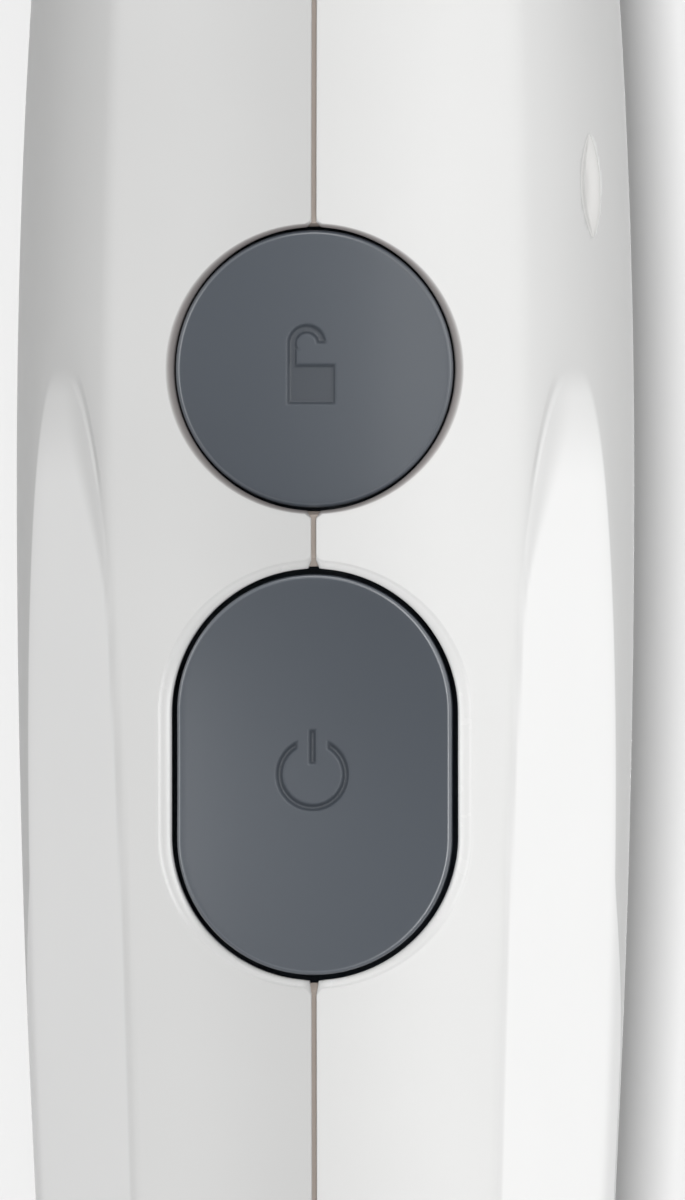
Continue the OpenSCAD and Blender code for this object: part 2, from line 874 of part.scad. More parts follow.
module motor_end_cap() {
  color(black)
    difference() {
      union() {
        translate([0, 0, end_cap_z]) cylinder(r = motor_r, h = end_cap_t - 1);
        tube(motor_r - can_wall - 0.1, motor_r - can_wall - 2, end_cap_z - 3, 3 + eps);
        translate([0, 0, end_cap_z]) cylinder(r = 7, h = end_cap_t);
        for (side = [-1, 1])
          translate([-2, side * (motor_r - 3.9) - 0.4, end_cap_z + end_cap_t - 1 - eps])
            cube([4, 0.8, terminal_h + eps]);
      }
      translate([0, 0, end_cap_z - 1]) cylinder(r = motor_bush_r, h = end_cap_t - 0.5);
    }
}

module motor_brushes() {
  color("#333336")
    for (side = [-1, 1])
      translate([0, side * (commutator_r + 0.05 + 2.5), end_cap_z - 3.6]) cube([3, 5, 3.6 * 2 - 0.1], center = true);
}

module motor_bushes() {
  color(brass) {
    tube(motor_bush_r - 0.05, motor_shaft_d / 2 + run, can_z - boss_h + 0.2, boss_h + can_wall - 0.4);
    tube(motor_bush_r - 0.05, motor_shaft_d / 2 + run, end_cap_z - 0.9, 4.2);
  }
}

module motor_plate() {
  color(steel)
    difference() {
      translate([0, 0, plate_z]) cylinder(r = plate_r, h = plate_t);
      translate([0, 0, plate_z - 1]) cylinder(r = boss_r + fit, h = plate_t + 2);
      for (side = [-1, 1])
        translate([side * motor_screw_x, 0, plate_z - 1]) cylinder(r = motor_screw_r + 0.1, h = plate_t + 2);
    }
}

module motor_screws() {
  color(steel)
    for (side = [-1, 1])
      translate([side * motor_screw_x, 0, 0]) {
        translate([0, 0, plate_z]) cylinder(r = motor_screw_r - 0.02, h = plate_t + can_wall);
        translate([0, 0, plate_z - screw_head]) cylinder(r = motor_screw_r + 1.2, h = screw_head);
      }
}

module vibration_ring() {
  color(black) tube(motor_r + damper_t, motor_r + 0.02, damper_z, damper_h);
}

module motor_shaft() {
  color(steel)
    translate([0, 0, shaft_lo]) cylinder(d = motor_shaft_d, h = end_cap_z + 4 - shaft_lo);
}

module armature() {
  color("#a5683a")
    difference() {
      translate([0, 0, core_z]) cylinder(r = core_r, h = core_h);
      translate([0, 0, core_z - 1]) cylinder(d = motor_shaft_d, h = core_h + 2);
      for (turn = [0 : 72 : 359])
        rotate([0, 0, turn])
          translate([core_r - 5, -0.8, core_z - 1]) cube([6, 1.6, core_h + 2]);
    }
}

module commutator() {
  color(brass) tube(commutator_r, motor_shaft_d / 2, commutator_z, end_cap_z - 1.2 - commutator_z);
}

// Star with round lobes, drawn in X and Y
module star(r, grow) {
  circle(r = r * 0.68 + grow);
  for (turn = [0 : 90 : 359])
    rotate(turn) translate([r * 0.62, 0]) circle(r = r * 0.38 + grow);
}

module drive_coupling() {
  color("#d8d4c8")
    difference() {
      union() {
        translate([0, 0, shaft_lo]) linear_extrude(height = driven_top + 1 - shaft_lo) star(star_r, 0);
        translate([0, 0, driven_top + 1 - eps]) cylinder(r = star_r + 0.2, h = 5);
      }
      translate([0, 0, shaft_lo - 1]) cylinder(d = motor_shaft_d, h = 20);
    }
}

// ---- Mixing shaft ----

module shaft_collar() {
  color(white)
    difference() {
      union() {
        rotate_extrude()
          difference() {
            translate([0, collar_z]) square([collar_top_r, collar_h - 0.4]);
            translate([collar_low_r, collar_z - 1]) square([collar_top_r, flare_z - collar_z + 1]);
            intersection() {
              translate([collar_low_r + flare_r, flare_z]) circle(r = flare_r, $fn = long_fn);
              translate([collar_low_r, flare_z]) square([collar_top_r, flare_h]);
            }
          }
        translate([0, 0, base_z - 0.4 - eps]) cylinder(r = neck_r, h = neck_top - base_z + 0.4);
      }
      // Groove for the latch frames
      tube(neck_r + 1, neck_r - latch_bite - slide, latch_z, head_z - latch_z);
      // Groove for the gasket
      tube(neck_r + 1.6, neck_r - 0.6, base_z - 1.4, 1.2);
      translate([0, 0, cavity_z]) cylinder(r = cavity_r, h = grip_h);
      translate([0, 0, upper_bush_z]) cylinder(r = upper_bush_r, h = 20);
      translate([0, 0, collar_z - 1]) cylinder(r = drive_r + 1, h = collar_h);
      translate([0, 0, collar_z - 1]) cylinder(r = tube_d / 2 + 0.05, h = tube_socket + 1);
    }
}

module collar_gasket() {
  color(black)
    rotate_extrude() translate([neck_r + 0.45, base_z - 0.8]) circle(r = 0.55);
}

module shaft_tube() {
  color(steel) tube(tube_d / 2, tube_d / 2 - tube_wall, tube_end, collar_z + tube_socket - tube_end);
}

// Outline of the blade guard, from the axis out, with its face moved in by inset
module bell_outline(inset) {
  union() {
    intersection() {
      translate([dome_mid_x, dome_mid_z]) circle(r = dome_r - inset);
      translate([0, skirt_h]) square([bell_r, bell_h]);
    }
    polygon([
      [0, skirt_h + eps],
      [dome_x - inset, skirt_h + eps],
      [dome_x - inset, skirt_h],
      [bell_r - inset, 0],
      [bell_r - inset, -1],
      [0, -1]
    ]);
    translate([0, skirt_h]) square([max(dome_mid_x, 1), bell_h - skirt_h - inset]);
  }
}

module blade_guard() {
  arch_r = 7;
  arch_z = 3;
  slot_r = 2.6;
  color(steel)
    difference() {
      union() {
        rotate_extrude()
          difference() {
            intersection() {
              bell_outline(0);
              square([bell_r + 1, bell_h + 1]);
            }
            bell_outline(bell_wall);
          }
        tube(tube_d / 2 + 1.8, tube_d / 2 + 0.02, tube_end, bell_h + 3 - tube_end);
        tube(bell_r + 0.6, bell_r - bell_wall, 0, 1.2);
      }
      translate([0, 0, -1]) cylinder(r = tube_d / 2 + 0.02, h = bell_h + 10);
      // Arches in the skirt that let the food through
      for (turn = [45 : 90 : 359])
        rotate([0, 0, turn]) {
          bar_x(arch_r, bell_r - 8, bell_r + 3, 0, arch_z);
          translate([bell_r - 8, -arch_r, -1]) cube([11, 2 * arch_r, arch_z + 1]);
        }
      // Slots in the dome
      for (turn = [0 : 90 : 359])
        rotate([0, 0, turn])
          for (x = [bell_r - 13, bell_r - 8])
            translate([x, 0, skirt_h - 4]) cylinder(r = slot_r, h = bell_h);
      for (turn = [0 : 90 : 359])
        rotate([0, 0, turn])
          translate([bell_r - 13, -slot_r, skirt_h - 4]) cube([5, 2 * slot_r, bell_h]);
    }
}

module upper_bush() {
  color(brass) tube(upper_bush_r - 0.05, drive_r + run, upper_bush_z, upper_bush_h);
}

module lower_bush() {
  color(brass) tube(tube_d / 2 - tube_wall - 0.05, drive_r + run, lower_bush_z, lower_bush_h);
}

module shaft_seal() {
  color(black) tube(tube_d / 2 - tube_wall - 0.02, drive_r + run, seal_z, seal_h);
}

module drive_shaft() {
  color(steel)
    translate([0, 0, blade_z - 6]) cylinder(d = drive_d, h = shaft_lo - 1 - blade_z + 6);
}

module driven_coupling() {
  color("#d8d4c8")
    difference() {
      translate([0, 0, cavity_z + 0.4]) cylinder(r = cavity_r - 0.4, h = driven_top - cavity_z - 0.4);
      translate([0, 0, shaft_lo - 0.8]) linear_extrude(height = 30) star(star_r, 0.25);
      translate([0, 0, cavity_z - 1]) cylinder(d = drive_d, h = 10);
    }
}

module thrust_washer() {
  color(steel) tube(hub_d / 2 - 1.2, drive_r, blade_z + blade_t, tube_end - blade_z - blade_t - 0.6);
}

// One wing of the blade along +X, with two curved edges
module blade_wing() {
  linear_extrude(height = blade_t)
    intersection() {
      translate([-0.6, -5]) square([blade_span / 2 - wing_x, 10]);
      translate([blade_span / 2 - wing_x - 30, 2]) circle(r = 30, $fn = 180);
      translate([0, 26]) circle(r = 30, $fn = 180);
      translate([0, -25]) circle(r = 30, $fn = 180);
    }
}

module blade() {
  color(steel)
    difference() {
      union() {
        translate([0, 0, blade_z]) cylinder(d = hub_d, h = blade_t);
        for (wing = [0, 1])
          rotate([0, 0, wing * 180])
            translate([wing_x, 0, blade_z]) rotate([0, (2 * wing - 1) * wing_tilt, 0]) blade_wing();
      }
      translate([0, 0, blade_z - 5]) cylinder(d = drive_d, h = 10);
    }
}

module blade_nut() {
  color(steel)
    difference() {
      union() {
        translate([0, 0, blade_z - nut_h]) cylinder(r = wing_x - 0.2, h = nut_h, $fn = 6);
        translate([0, 0, blade_z - 7.5]) cylinder(r = 4, h = 7.5 - nut_h + eps);
      }
      translate([0, 0, blade_z - 6]) cylinder(d = drive_d, h = 10);
    }
}

left_shell();
right_shell();
top_cap();
lower_ring();
shaft_socket();
latch_cover();
latch_screws();
left_release_button();
right_release_button();
left_release_spring();
right_release_spring();
unlock_button();
power_button();
unlock_spring();
power_spring();
button_bracket();
control_board();
board_screws();
unlock_switch();
power_switch();
indicator_lens();
indicator_led();
indicator_board();
charge_jack();
jack_nut();
battery_cells();
battery_cradle();
battery_tabs();
motor_can();
motor_magnets();
motor_end_cap();
motor_brushes();
motor_bushes();
motor_plate();
motor_screws();
vibration_ring();
motor_shaft();
armature();
commutator();
drive_coupling();
shaft_collar();
collar_gasket();
shaft_tube();
blade_guard();
upper_bush();
lower_bush();
shaft_seal();
drive_shaft();
driven_coupling();
thrust_washer();
blade();
blade_nut();
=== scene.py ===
import json
import math

import bpy
import numpy as np
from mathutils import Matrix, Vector


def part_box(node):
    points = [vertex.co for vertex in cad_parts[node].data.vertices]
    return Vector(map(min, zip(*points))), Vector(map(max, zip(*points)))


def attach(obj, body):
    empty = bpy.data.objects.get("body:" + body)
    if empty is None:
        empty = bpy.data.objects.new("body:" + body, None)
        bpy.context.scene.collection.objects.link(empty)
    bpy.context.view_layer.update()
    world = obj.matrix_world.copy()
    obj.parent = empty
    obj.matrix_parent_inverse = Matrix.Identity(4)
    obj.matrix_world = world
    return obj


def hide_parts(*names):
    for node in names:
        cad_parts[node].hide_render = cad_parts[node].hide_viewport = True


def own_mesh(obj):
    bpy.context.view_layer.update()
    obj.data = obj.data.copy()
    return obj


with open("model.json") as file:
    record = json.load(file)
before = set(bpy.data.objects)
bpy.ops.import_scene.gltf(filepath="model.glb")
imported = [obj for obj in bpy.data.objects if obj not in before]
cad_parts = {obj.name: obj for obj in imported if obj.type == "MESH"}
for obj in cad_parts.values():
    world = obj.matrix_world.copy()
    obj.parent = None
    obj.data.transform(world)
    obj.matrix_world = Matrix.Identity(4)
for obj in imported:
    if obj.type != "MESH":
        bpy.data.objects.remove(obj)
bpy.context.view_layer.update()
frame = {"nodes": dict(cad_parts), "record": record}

MM = 0.001  # the frame is in metres, and the shapes here are worked out in millimetres


# ---- Sizes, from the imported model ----


def node_box(name):
    """Lowest and highest corner of a CAD node, in millimetres."""
    low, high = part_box(name)
    return np.array(low) / MM, np.array(high) / MM


shell_low, shell_high = node_box("right_shell")
unlock_low, unlock_high = node_box("unlock_button")
power_low, power_high = node_box("power_button")
lens_low, lens_high = node_box("indicator_lens")
release_low, release_high = node_box("right_release_button")

shell_proud = 0.12  # how far the visible shells stand out at the sides
grip_half = shell_high[0] + shell_proud
grip_front = -shell_low[1]
shell_z = shell_low[2]
cap_z = shell_high[2]
seam_half = shell_low[0] + 0.03  # the visible seam is a little wider than the modelled one
wall = 2.2  # thickness of the shells

flange_out = 1.2  # how far the buttons' flanges stand out behind the panel
flange_t = 1.0
flange_level = -21.15  # depth of the flanges' front
cap_wall = 1.6  # thickness of the buttons' sides
unlock_drop = 0.3  # how far the visible cap stands below the modelled one
unlock_z = (unlock_low[2] + unlock_high[2]) / 2 - unlock_drop
unlock_inset = 0.25  # how far each visible cap stands inside the modelled one
power_inset = 0.38
unlock_r = unlock_high[0] - flange_out - unlock_inset
power_z = (power_low[2] + power_high[2]) / 2
power_r = power_high[0] - flange_out - power_inset
power_half = (power_high[2] - power_low[2]) / 2 - flange_out - power_inset
unlock_gap = 0.26  # gap between each cap and its hole
button_round = 0.4  # rounding of the buttons' edges
power_gap = 0.62
face_sink = 0.2  # how far the buttons' faces lie under the panel
face_y = face_sink - grip_front
crown_r = 110.0  # curve of the unlock button's face from end to end
dish_r = 80.0  # finger dish of the power button
dish_depth = 2.4
mark_depth = 0.32
unlock_plate = 0.9  # thickness of each cap behind its face
power_plate = 0.6

# Outline of the grip: each half is bounded by a side barrel and a flatter front barrel
side_past = 1.5
side_y = -2.3
side_r = grip_half + side_past
front_past = 2.4
front_r = 2 * grip_half + 1
front_y = math.sqrt(front_r**2 - front_past**2) - grip_front
facet_z = unlock_z + unlock_drop
wide_z = facet_z - 9.5
up_r = 680.0
down_r = 1200.0
taper_z = wide_z - 57
taper_run = wide_z - taper_z
taper = taper_run / math.sqrt(down_r**2 - taper_run**2)

# Facet down each corner of the grip
facet_dir = math.radians(33)
facet_lean = math.radians(2.5)
facet_d = side_r * 0.9966

# Charge indicator on the right side
lens_z = (lens_low[2] + lens_high[2]) / 2 - 0.2
lens_dir = math.radians(26)
lens_w = 3.5
lens_h = 9.2

release_z = (release_low[2] + release_high[2]) / 2
release_r = 5.3
release_edge = 0.25  # how far outside release_r the shells' faces are cut


# ---- The grip's outer face ----


def drop(z):
    """How far the grip's outline has fallen in at height z."""
    z = np.asarray(z, float)
    above = np.clip(z - wide_z, 0, None)
    below = np.clip(wide_z - np.maximum(z, taper_z), 0, None)
    fall_up = up_r - np.sqrt(up_r**2 - above**2)
    fall_down = down_r - np.sqrt(down_r**2 - below**2)
    return fall_up + fall_down + np.clip(taper_z - z, 0, None) * taper


def soft_max(a, b, blend):
    """The larger of two distances, rounded off where they are within blend of each other."""
    near = np.clip(blend - np.abs(a - b), 0, None) / blend
    return np.maximum(a, b) + near * near * blend / 4


def fade(value, start, end):
    """0 before start, 1 after end, smooth between them."""
    t = np.clip((value - start) / (end - start), 0, 1)
    return t * t * (3 - 2 * t)


def grip_faces(x, y, z):
    """Distances outside the side barrel, the front barrel and the facet of the right half."""
    fall = drop(z)
    side = np.hypot(x + side_past, y - side_y) - (side_r - fall)
    front = np.hypot(x + front_past, y - front_y) - (front_r - fall)
    across = x * math.cos(facet_dir) - y * math.sin(facet_dir)
    facet = (across - facet_d) * math.cos(facet_lean) - (z - facet_z) * math.sin(facet_lean)
    return side, front, facet


def grip_distance(x, y, z):
    """Distance outside the right half of the grip, with its creases and facet softened."""
    side, front, facet = grip_faces(x, y, z)
    return soft_max(soft_max(side, front, 0.35), facet, 0.28)


def facet_edge(points):
    """How far inside the facet's outer edge a point of the right half lies. Low down on the grip the
    facet's painted light runs on to the side."""
    side, _, facet = grip_faces(*points.T)
    return facet - side + 1.8 * fade(facet_z - points[:, 2], 44, 62)


def near_seam(points):
    """Share of the painted shade along the seam: 1 at the seam and 0 away from it."""
    return 1 - fade(points[:, 0], 0, 13)


def facet_share(points):
    """Share of the facet's painted light, a lighter white painted for the sheen the facet catches: 1 on
    the facet and 0 in front of it. The change is soft near the facet's tip.
    """
    _, front, facet = grip_faces(*points.T)
    near_tip = fade(points[:, 2], facet_z - 22, facet_z - 4)
    start = 0.25 + 1.1 * near_tip
    width = 0.3 + 1.5 * near_tip
    share = 0.35 + 0.65 * fade((facet - front - start) / width, 0, 1)
    paler = 1 - 0.5 * fade(points[:, 2], facet_z - 11, facet_z - 2)
    from_tip = paler * (1 - fade(points[:, 2], facet_z - 3, facet_z + 0.3))
    return share * fade(facet - front, -0.05, 0.2) * from_tip


def facet_pinch(points):
    """1 along the stretch of the facet's inner edge where a fine groove runs."""
    z = points[:, 2]
    angle = np.arctan2(points[:, 1] - side_y, points[:, 0] + side_past)
    inner = fade(-angle, facet_dir, facet_dir + 0.03)
    return inner * fade(z, facet_z - 12, facet_z - 8) * (1 - fade(z, facet_z - 2, facet_z - 0.5))


def grip_point(angle, z):
    """Point of the right half's face at an angle round the grip, from -90 degrees at the front."""
    angle, z = np.broadcast_arrays(np.asarray(angle, float), np.asarray(z, float))
    start = seam_half + seam_round
    near = np.full(angle.shape, 5.0)
    far = np.full(angle.shape, 40.0)
    for _ in range(34):
        middle = (near + far) / 2
        outside = grip_distance(start + middle * np.cos(angle), middle * np.sin(angle), z) > 0
        far = np.where(outside, middle, far)
        near = np.where(outside, near, middle)
    reach = (near + far) / 2
    return np.stack([start + reach * np.cos(angle), reach * np.sin(angle), z], -1)


def slopes(distance, points, step=0.02):
    """Direction in which a distance grows fastest, at each point."""
    out = np.empty_like(points)
    for axis in range(3):
        shift = np.zeros(3)
        shift[axis] = step
        ahead = distance(*(points + shift).T)
        behind = distance(*(points - shift).T)
        out[..., axis] = (ahead - behind).T
    return out


def grip_normal(points):
    """Outward direction of the grip's face at each point."""
    return unit(slopes(grip_distance, points))


def unit(vectors):
    return vectors / np.maximum(np.linalg.norm(vectors, axis=-1, keepdims=True), 1e-12)


# ---- Solids made from a sheet that is cut along an outline ----


def clip_grid(place, keep, across, along):
    """Cuts a grid of across by along lines where keep is negative. place turns two grid values into
    points, and keep gives the distance of points inside the outline. Returns points and faces."""
    a, b = np.meshgrid(across, along, indexing="ij")
    points = place(a, b)
    inside = keep(points)
    step_a = np.gradient(a, axis=0)
    step_b = np.gradient(b, axis=1)
    # Grid points close to the outline move onto it, so that no thin slivers are left
    slope_a = (keep(place(a + step_a * 0.05, b)) - keep(place(a - step_a * 0.05, b))) / 0.1
    slope_b = (keep(place(a, b + step_b * 0.05)) - keep(place(a, b - step_b * 0.05))) / 0.1
    steep = slope_a**2 + slope_b**2 + 1e-12
    close = (np.abs(inside) < 0.3 * np.sqrt(steep)) & (np.abs(inside) > 1e-6)
    a = np.where(close, a - step_a * inside * slope_a / steep, a)
    b = np.where(close, b - step_b * inside * slope_b / steep, b)
    points = np.where(close[..., None], place(a, b), points)
    inside = np.where(close | (np.abs(inside) <= 1e-6), 0.0, inside)

    count_a, count_b = inside.shape
    ids = -np.ones((count_a, count_b), int)
    used = inside >= 0
    ids[used] = np.arange(used.sum())
    all_points = [points[used]]
    made = used.sum()

    def crossings(first, second):
        """Points where the outline crosses the grid lines from first to second."""
        nonlocal made
        sign = (inside[first] > 0) & (inside[second] < 0) | (inside[first] < 0) & (inside[second] > 0)
        where = np.argwhere(sign)
        a0, a1 = a[first][sign], a[second][sign]
        b0, b1 = b[first][sign], b[second][sign]
        low, high = np.zeros(len(a0)), np.ones(len(a0))
        rising = inside[first][sign] < 0
        for _ in range(22):
            middle = (low + high) / 2
            positive = keep(place(a0 + (a1 - a0) * middle, b0 + (b1 - b0) * middle)) > 0
            go_low = positive == rising
            high = np.where(go_low, middle, high)
            low = np.where(go_low, low, middle)
        middle = (low + high) / 2
        all_points.append(place(a0 + (a1 - a0) * middle, b0 + (b1 - b0) * middle))
        found = {tuple(w): made + n for n, w in enumerate(where)}
        made += len(where)
        return found

    full, left, up = slice(None), slice(None, -1), slice(1, None)
    across_cuts = crossings((left, full), (up, full))
    along_cuts = crossings((full, left), (full, up))

    corner = [ids[:-1, :-1], ids[1:, :-1], ids[1:, 1:], ids[:-1, 1:]]
    whole = np.all([c >= 0 for c in corner], axis=0)
    faces = [tuple(q) for q in np.stack([c[whole] for c in corner], -1)]
    partial = np.any([c >= 0 for c in corner], axis=0) & ~whole
    for i, j in np.argwhere(partial):
        ring = [(i, j), (i + 1, j), (i + 1, j + 1), (i, j + 1)]
        cuts = [
            across_cuts.get((i, j)),
            along_cuts.get((i + 1, j)),
            across_cuts.get((i, j + 1)),
            along_cuts.get((i, j)),
        ]
        face = []
        for spot, cut in zip(ring, cuts):
            if ids[spot] >= 0:
                face.append(ids[spot])
            if cut is not None:
                face.append(cut)
        if len(face) >= 3:
            faces.append(tuple(face))
    return np.concatenate(all_points), faces


def vertex_values(obj, name, function):
    """Stores a value at every vertex for the material, from the vertex's place in millimetres."""
    mesh = obj.data
    places = np.empty(3 * len(mesh.vertices))
    mesh.vertices.foreach_get("co", places)
    values = function(places.reshape(-1, 3) / MM)
    layer = mesh.attributes.new(name, "FLOAT", "POINT")
    layer.data.foreach_set("value", np.ascontiguousarray(values, np.float32))


def rim_edges(faces):
    """Edges that only one face uses, each in its face's direction."""
    count = {}
    for face in faces:
        for start, end in zip(face, face[1:] + face[:1]):
            key = (min(start, end), max(start, end))
            count[key] = None if key in count else (start, end)
    return [edge for edge in count.values() if edge is not None]


def rim_directions(points, normals, edges):
    """For each rim point, the direction in the sheet that points out of it."""
    before, after = {}, {}
    for start, end in edges:
        after[start] = end
        before[end] = start
    order = np.array(sorted(after))
    previous = points[[before[n] for n in order]]
    following = points[[after[n] for n in order]]
    here = points[order]
    back, ahead = here - previous, following - here
    back_len = np.linalg.norm(back, axis=1, keepdims=True)
    ahead_len = np.linalg.norm(ahead, axis=1, keepdims=True)
    run = back / back_len * ahead_len + ahead / ahead_len * back_len
    return order, unit(np.cross(run, normals[order]))


def mesh_object(name, points, faces, smooth=True, crease=None):
    """Object from points in millimetres and faces, which must be welded and face out."""
    mesh = bpy.data.meshes.new(name)
    mesh.from_pydata((np.asarray(points) * MM).tolist(), [], [list(map(int, f)) for f in faces])
    mesh.validate()
    mesh.update()
    mesh.polygons.foreach_set("use_smooth", [smooth] * len(mesh.polygons))
    if crease is not None:
        mesh.set_sharp_from_angle(angle=math.radians(crease))
    obj = bpy.data.objects.new(name, mesh)
    bpy.context.scene.collection.objects.link(obj)
    return obj


def tube_faces(rings, sides):
    """Faces that join rings of points, each with this many sides, into a tube."""
    faces = []
    for ring in range(rings - 1):
        for k in range(sides):
            a, b = ring * sides + k, ring * sides + (k + 1) % sides
            faces.append((a, a + sides, b + sides, b))
    return faces


def solid_sheet(name, place, normal, keep, across, along, rim, back):
    """Closed solid from a cut sheet. rim gives the rings of points from the sheet's edge down to its
    back, and back gives the back face's points."""
    points, faces = clip_grid(place, keep, across, along)
    normals = normal(points)
    first = faces[len(faces) // 2]
    turn = np.cross(points[first[1]] - points[first[0]], points[first[2]] - points[first[1]])
    if np.dot(turn, normals[first[0]]) < 0:
        faces = [tuple(reversed(f)) for f in faces]
    edges = rim_edges(faces)
    order, out = rim_directions(points, normals, edges)
    rings = rim(points[order], normals[order], out)
    count = len(points)
    back_points = back(points, normals)
    back_points[order] = rings[-1]
    rank = {n: k for k, n in enumerate(order)}
    blocks = [points, back_points] + rings[:-1]

    def ring_id(ring, n):
        if ring < 0:
            return n
        if ring == len(rings) - 1:
            return count + n
        return 2 * count + ring * len(order) + rank[n]

    closed = list(faces)
    closed += [tuple(count + n for n in reversed(f)) for f in faces]
    for start, end in edges:
        for ring in range(len(rings)):
            closed.append((
                ring_id(ring - 1, end), ring_id(ring - 1, start), ring_id(ring, start), ring_id(ring, end)
            ))
    return mesh_object(name, np.concatenate(blocks), closed)


def lines(*stops):
    """Grid values through the stops, each given as (value, spacing up to the next stop)."""
    values = []
    for (start, spacing), (end, _) in zip(stops, stops[1:]):
        count = max(1, round((end - start) / spacing))
        values.extend(start + (end - start) * k / count for k in range(count))
    return np.array(values + [stops[-1][0]])


# ---- Grip shells ----

seam_round = 0.14  # rounding of the shells' edges at the seam
lens_rim = 0.03


def unlock_rim(x, z):
    """Width of the slope round the unlock button, which is wider at its sides."""
    return 0.34 + 0.34 * x * x / np.maximum(x * x + (z - unlock_z) ** 2, 1e-6)


def power_rim(x, z):
    """Width of the slope round the power button, which is wider at its sides."""
    v = np.clip(np.abs(z - power_z) - (power_half - power_r), 0, None)
    return 0.8 + 0.4 * x * x / np.maximum(x * x + v * v, 1e-6)


def circle_distance(u, v, r):
    return np.hypot(u, v) - r


def stadium_distance(u, v, r, half):
    return np.hypot(u, np.clip(np.abs(v) - (half - r), 0, None)) - r


def oval_distance(u, v, w, h):
    """Distance outside a pointed oval of width w and height h."""
    arc_r = (h * h / 4 + w * w / 4) / w
    return np.hypot(np.abs(u) + arc_r - w / 2, v) - arc_r


far_off = 99.0  # distance given for points on another face than the hole


def unlock_hole(points):
    """Distance outside the unlock button's hole."""
    x, y, z = points[..., 0], points[..., 1], points[..., 2]
    away = circle_distance(x, z - unlock_z, unlock_r + unlock_gap)
    return np.where(y < -10, away, far_off)


def power_hole(points):
    """Distance outside the power button's hole, whose gap is smaller at its two ends."""
    end_less = 0.16
    x, y, z = points[..., 0], points[..., 1], points[..., 2]
    away = stadium_distance(x, z - power_z, power_r + power_gap, power_half + power_gap - end_less)
    return np.where(y < -10, away, far_off)


def front_holes(points):
    """Distance outside the slopes round the two buttons on the front."""
    x, z = points[..., 0], points[..., 2]
    return np.minimum(unlock_hole(points) - unlock_rim(x, z), power_hole(points) - power_rim(x, z))


def lens_spot(points):
    """Position on the shell round the lens: along the surface to the front, up, and out."""
    c, s = math.cos(lens_dir), math.sin(lens_dir)
    x = points[..., 0] + side_past
    y = points[..., 1] - side_y
    return -(x * s + y * c), points[..., 2] - lens_z, x * c - y * s


def lens_distance(points):
    """Distance outside the lens, which fills its hole."""
    u, v, _ = lens_spot(points)
    return oval_distance(u, v, lens_w + 0.1, lens_h + 0.2)


def lens_hole(points):
    """Distance outside the lens's hole."""
    return np.where(points[..., 0] > 15, lens_distance(points), far_off)


def release_hole(points):
    """Distance outside the release button's hole."""
    away = circle_distance(points[..., 1], points[..., 2] - release_z, release_r)
    return np.where(points[..., 0] > 15, away, far_off)


def soft_min(a, b, blend):
    """The smaller of two distances, rounded off where they are within blend of each other."""
    return -soft_max(-a, -b, blend)


def shell_keep(points, with_lens):
    """Distance inside the right shell's outline."""
    edge = points[..., 0] - (seam_half + seam_round)
    holes = np.minimum(front_holes(points), release_hole(points) - release_edge)
    if with_lens:
        holes = np.minimum(holes, lens_hole(points) - lens_rim)
    front = points[..., 1] < 0
    return np.where(front, soft_min(edge, holes, 0.5), np.minimum(edge, holes))


# Ways down from the face at each edge, as shares of the slope's width and depths. The lens's hole and
# the release buttons' holes have the seam's.
seam_profile = [
    (0.3, 0.01), (0.6, 0.03), (0.85, 0.07), (1, 0.14), (1, 0.3), (1, 0.6), (1, 1.2), (1, wall),
]
unlock_profile = [
    (0.12, 0.02), (0.3, 0.07), (0.5, 0.15), (0.7, 0.25), (0.9, 0.38), (1, 0.55), (1, 1.2), (1, wall),
]
power_profile = [
    (0.07, 0.02), (0.16, 0.08), (0.27, 0.15), (0.4, 0.2), (0.88, 0.33), (1, 0.5), (1, 0.8), (1, wall),
]


def inward(points, normals):
    """Direction into the shell: square to its face, and straight in at the holes of the buttons."""
    reach = 4.0  # distance from a hole over which the direction turns
    front_share = 1 - fade(front_holes(points), 0.1, reach)
    side_share = 1 - fade(release_hole(points) - release_edge, 0.1, reach)
    turned = -normals
    turned = turned + (np.array([0, 1, 0]) - turned) * front_share[:, None]
    turned = turned + (np.array([-1, 0, 0]) - turned) * side_share[:, None]
    return unit(turned)


def shell_rim(points, normals, out):
    """Rings from the shell's outer edge to its inner face, with each hole's own profile."""
    foot = 0.55  # depth at which the holes' walls turn straight in
    straight = inward(points, normals)
    unlock_width = unlock_rim(points[:, 0], points[:, 2])
    power_width = power_rim(points[:, 0], points[:, 2])
    unlock_share = 1 - fade(unlock_hole(points) - unlock_width, 0.02, 0.5)
    power_share = 1 - fade(power_hole(points) - power_width, 0.02, 0.5)
    lens_share = 1 - fade(lens_hole(points) - lens_rim, 0.02, 0.1)
    holes = (
        (unlock_share, unlock_profile, unlock_width),
        (power_share, power_profile, power_width),
        (lens_share, seam_profile, lens_rim),
    )
    rings = []
    for level, (seam_run, seam_fall) in enumerate(seam_profile):
        run = np.full(len(points), seam_run * seam_round)
        fall = np.full(len(points), seam_fall)
        for share, profile, width in holes:
            run += (profile[level][0] * width - run) * share
            fall += (profile[level][1] - fall) * share
        ring = points + out * run[:, None] - normals * np.minimum(fall, foot)[:, None]
        ring += straight * np.maximum(fall - foot, 0)[:, None]
        ring[:, 2] = np.clip(ring[:, 2], shell_z, cap_z)
        ring[:, 0] = np.maximum(ring[:, 0], seam_half)
        rings.append(ring)
    return rings


def rim_shade(points):
    """Share of the painted shade on the slope round the unlock button, darker towards the gap: 0 on the
    face and 1 at the foot of the slope.
    """
    width = unlock_rim(points[:, 0], points[:, 2])
    down = np.clip(1 - unlock_hole(points) / width, 0, 1)
    return 1 - (1 - down) ** 3.5


def bevel_share(points):
    """1 on the polished slope round the power button and 0 outside it."""
    width = power_rim(points[:, 0], points[:, 2])
    return 1 - fade(power_hole(points), width * 0.96, width + 0.02)


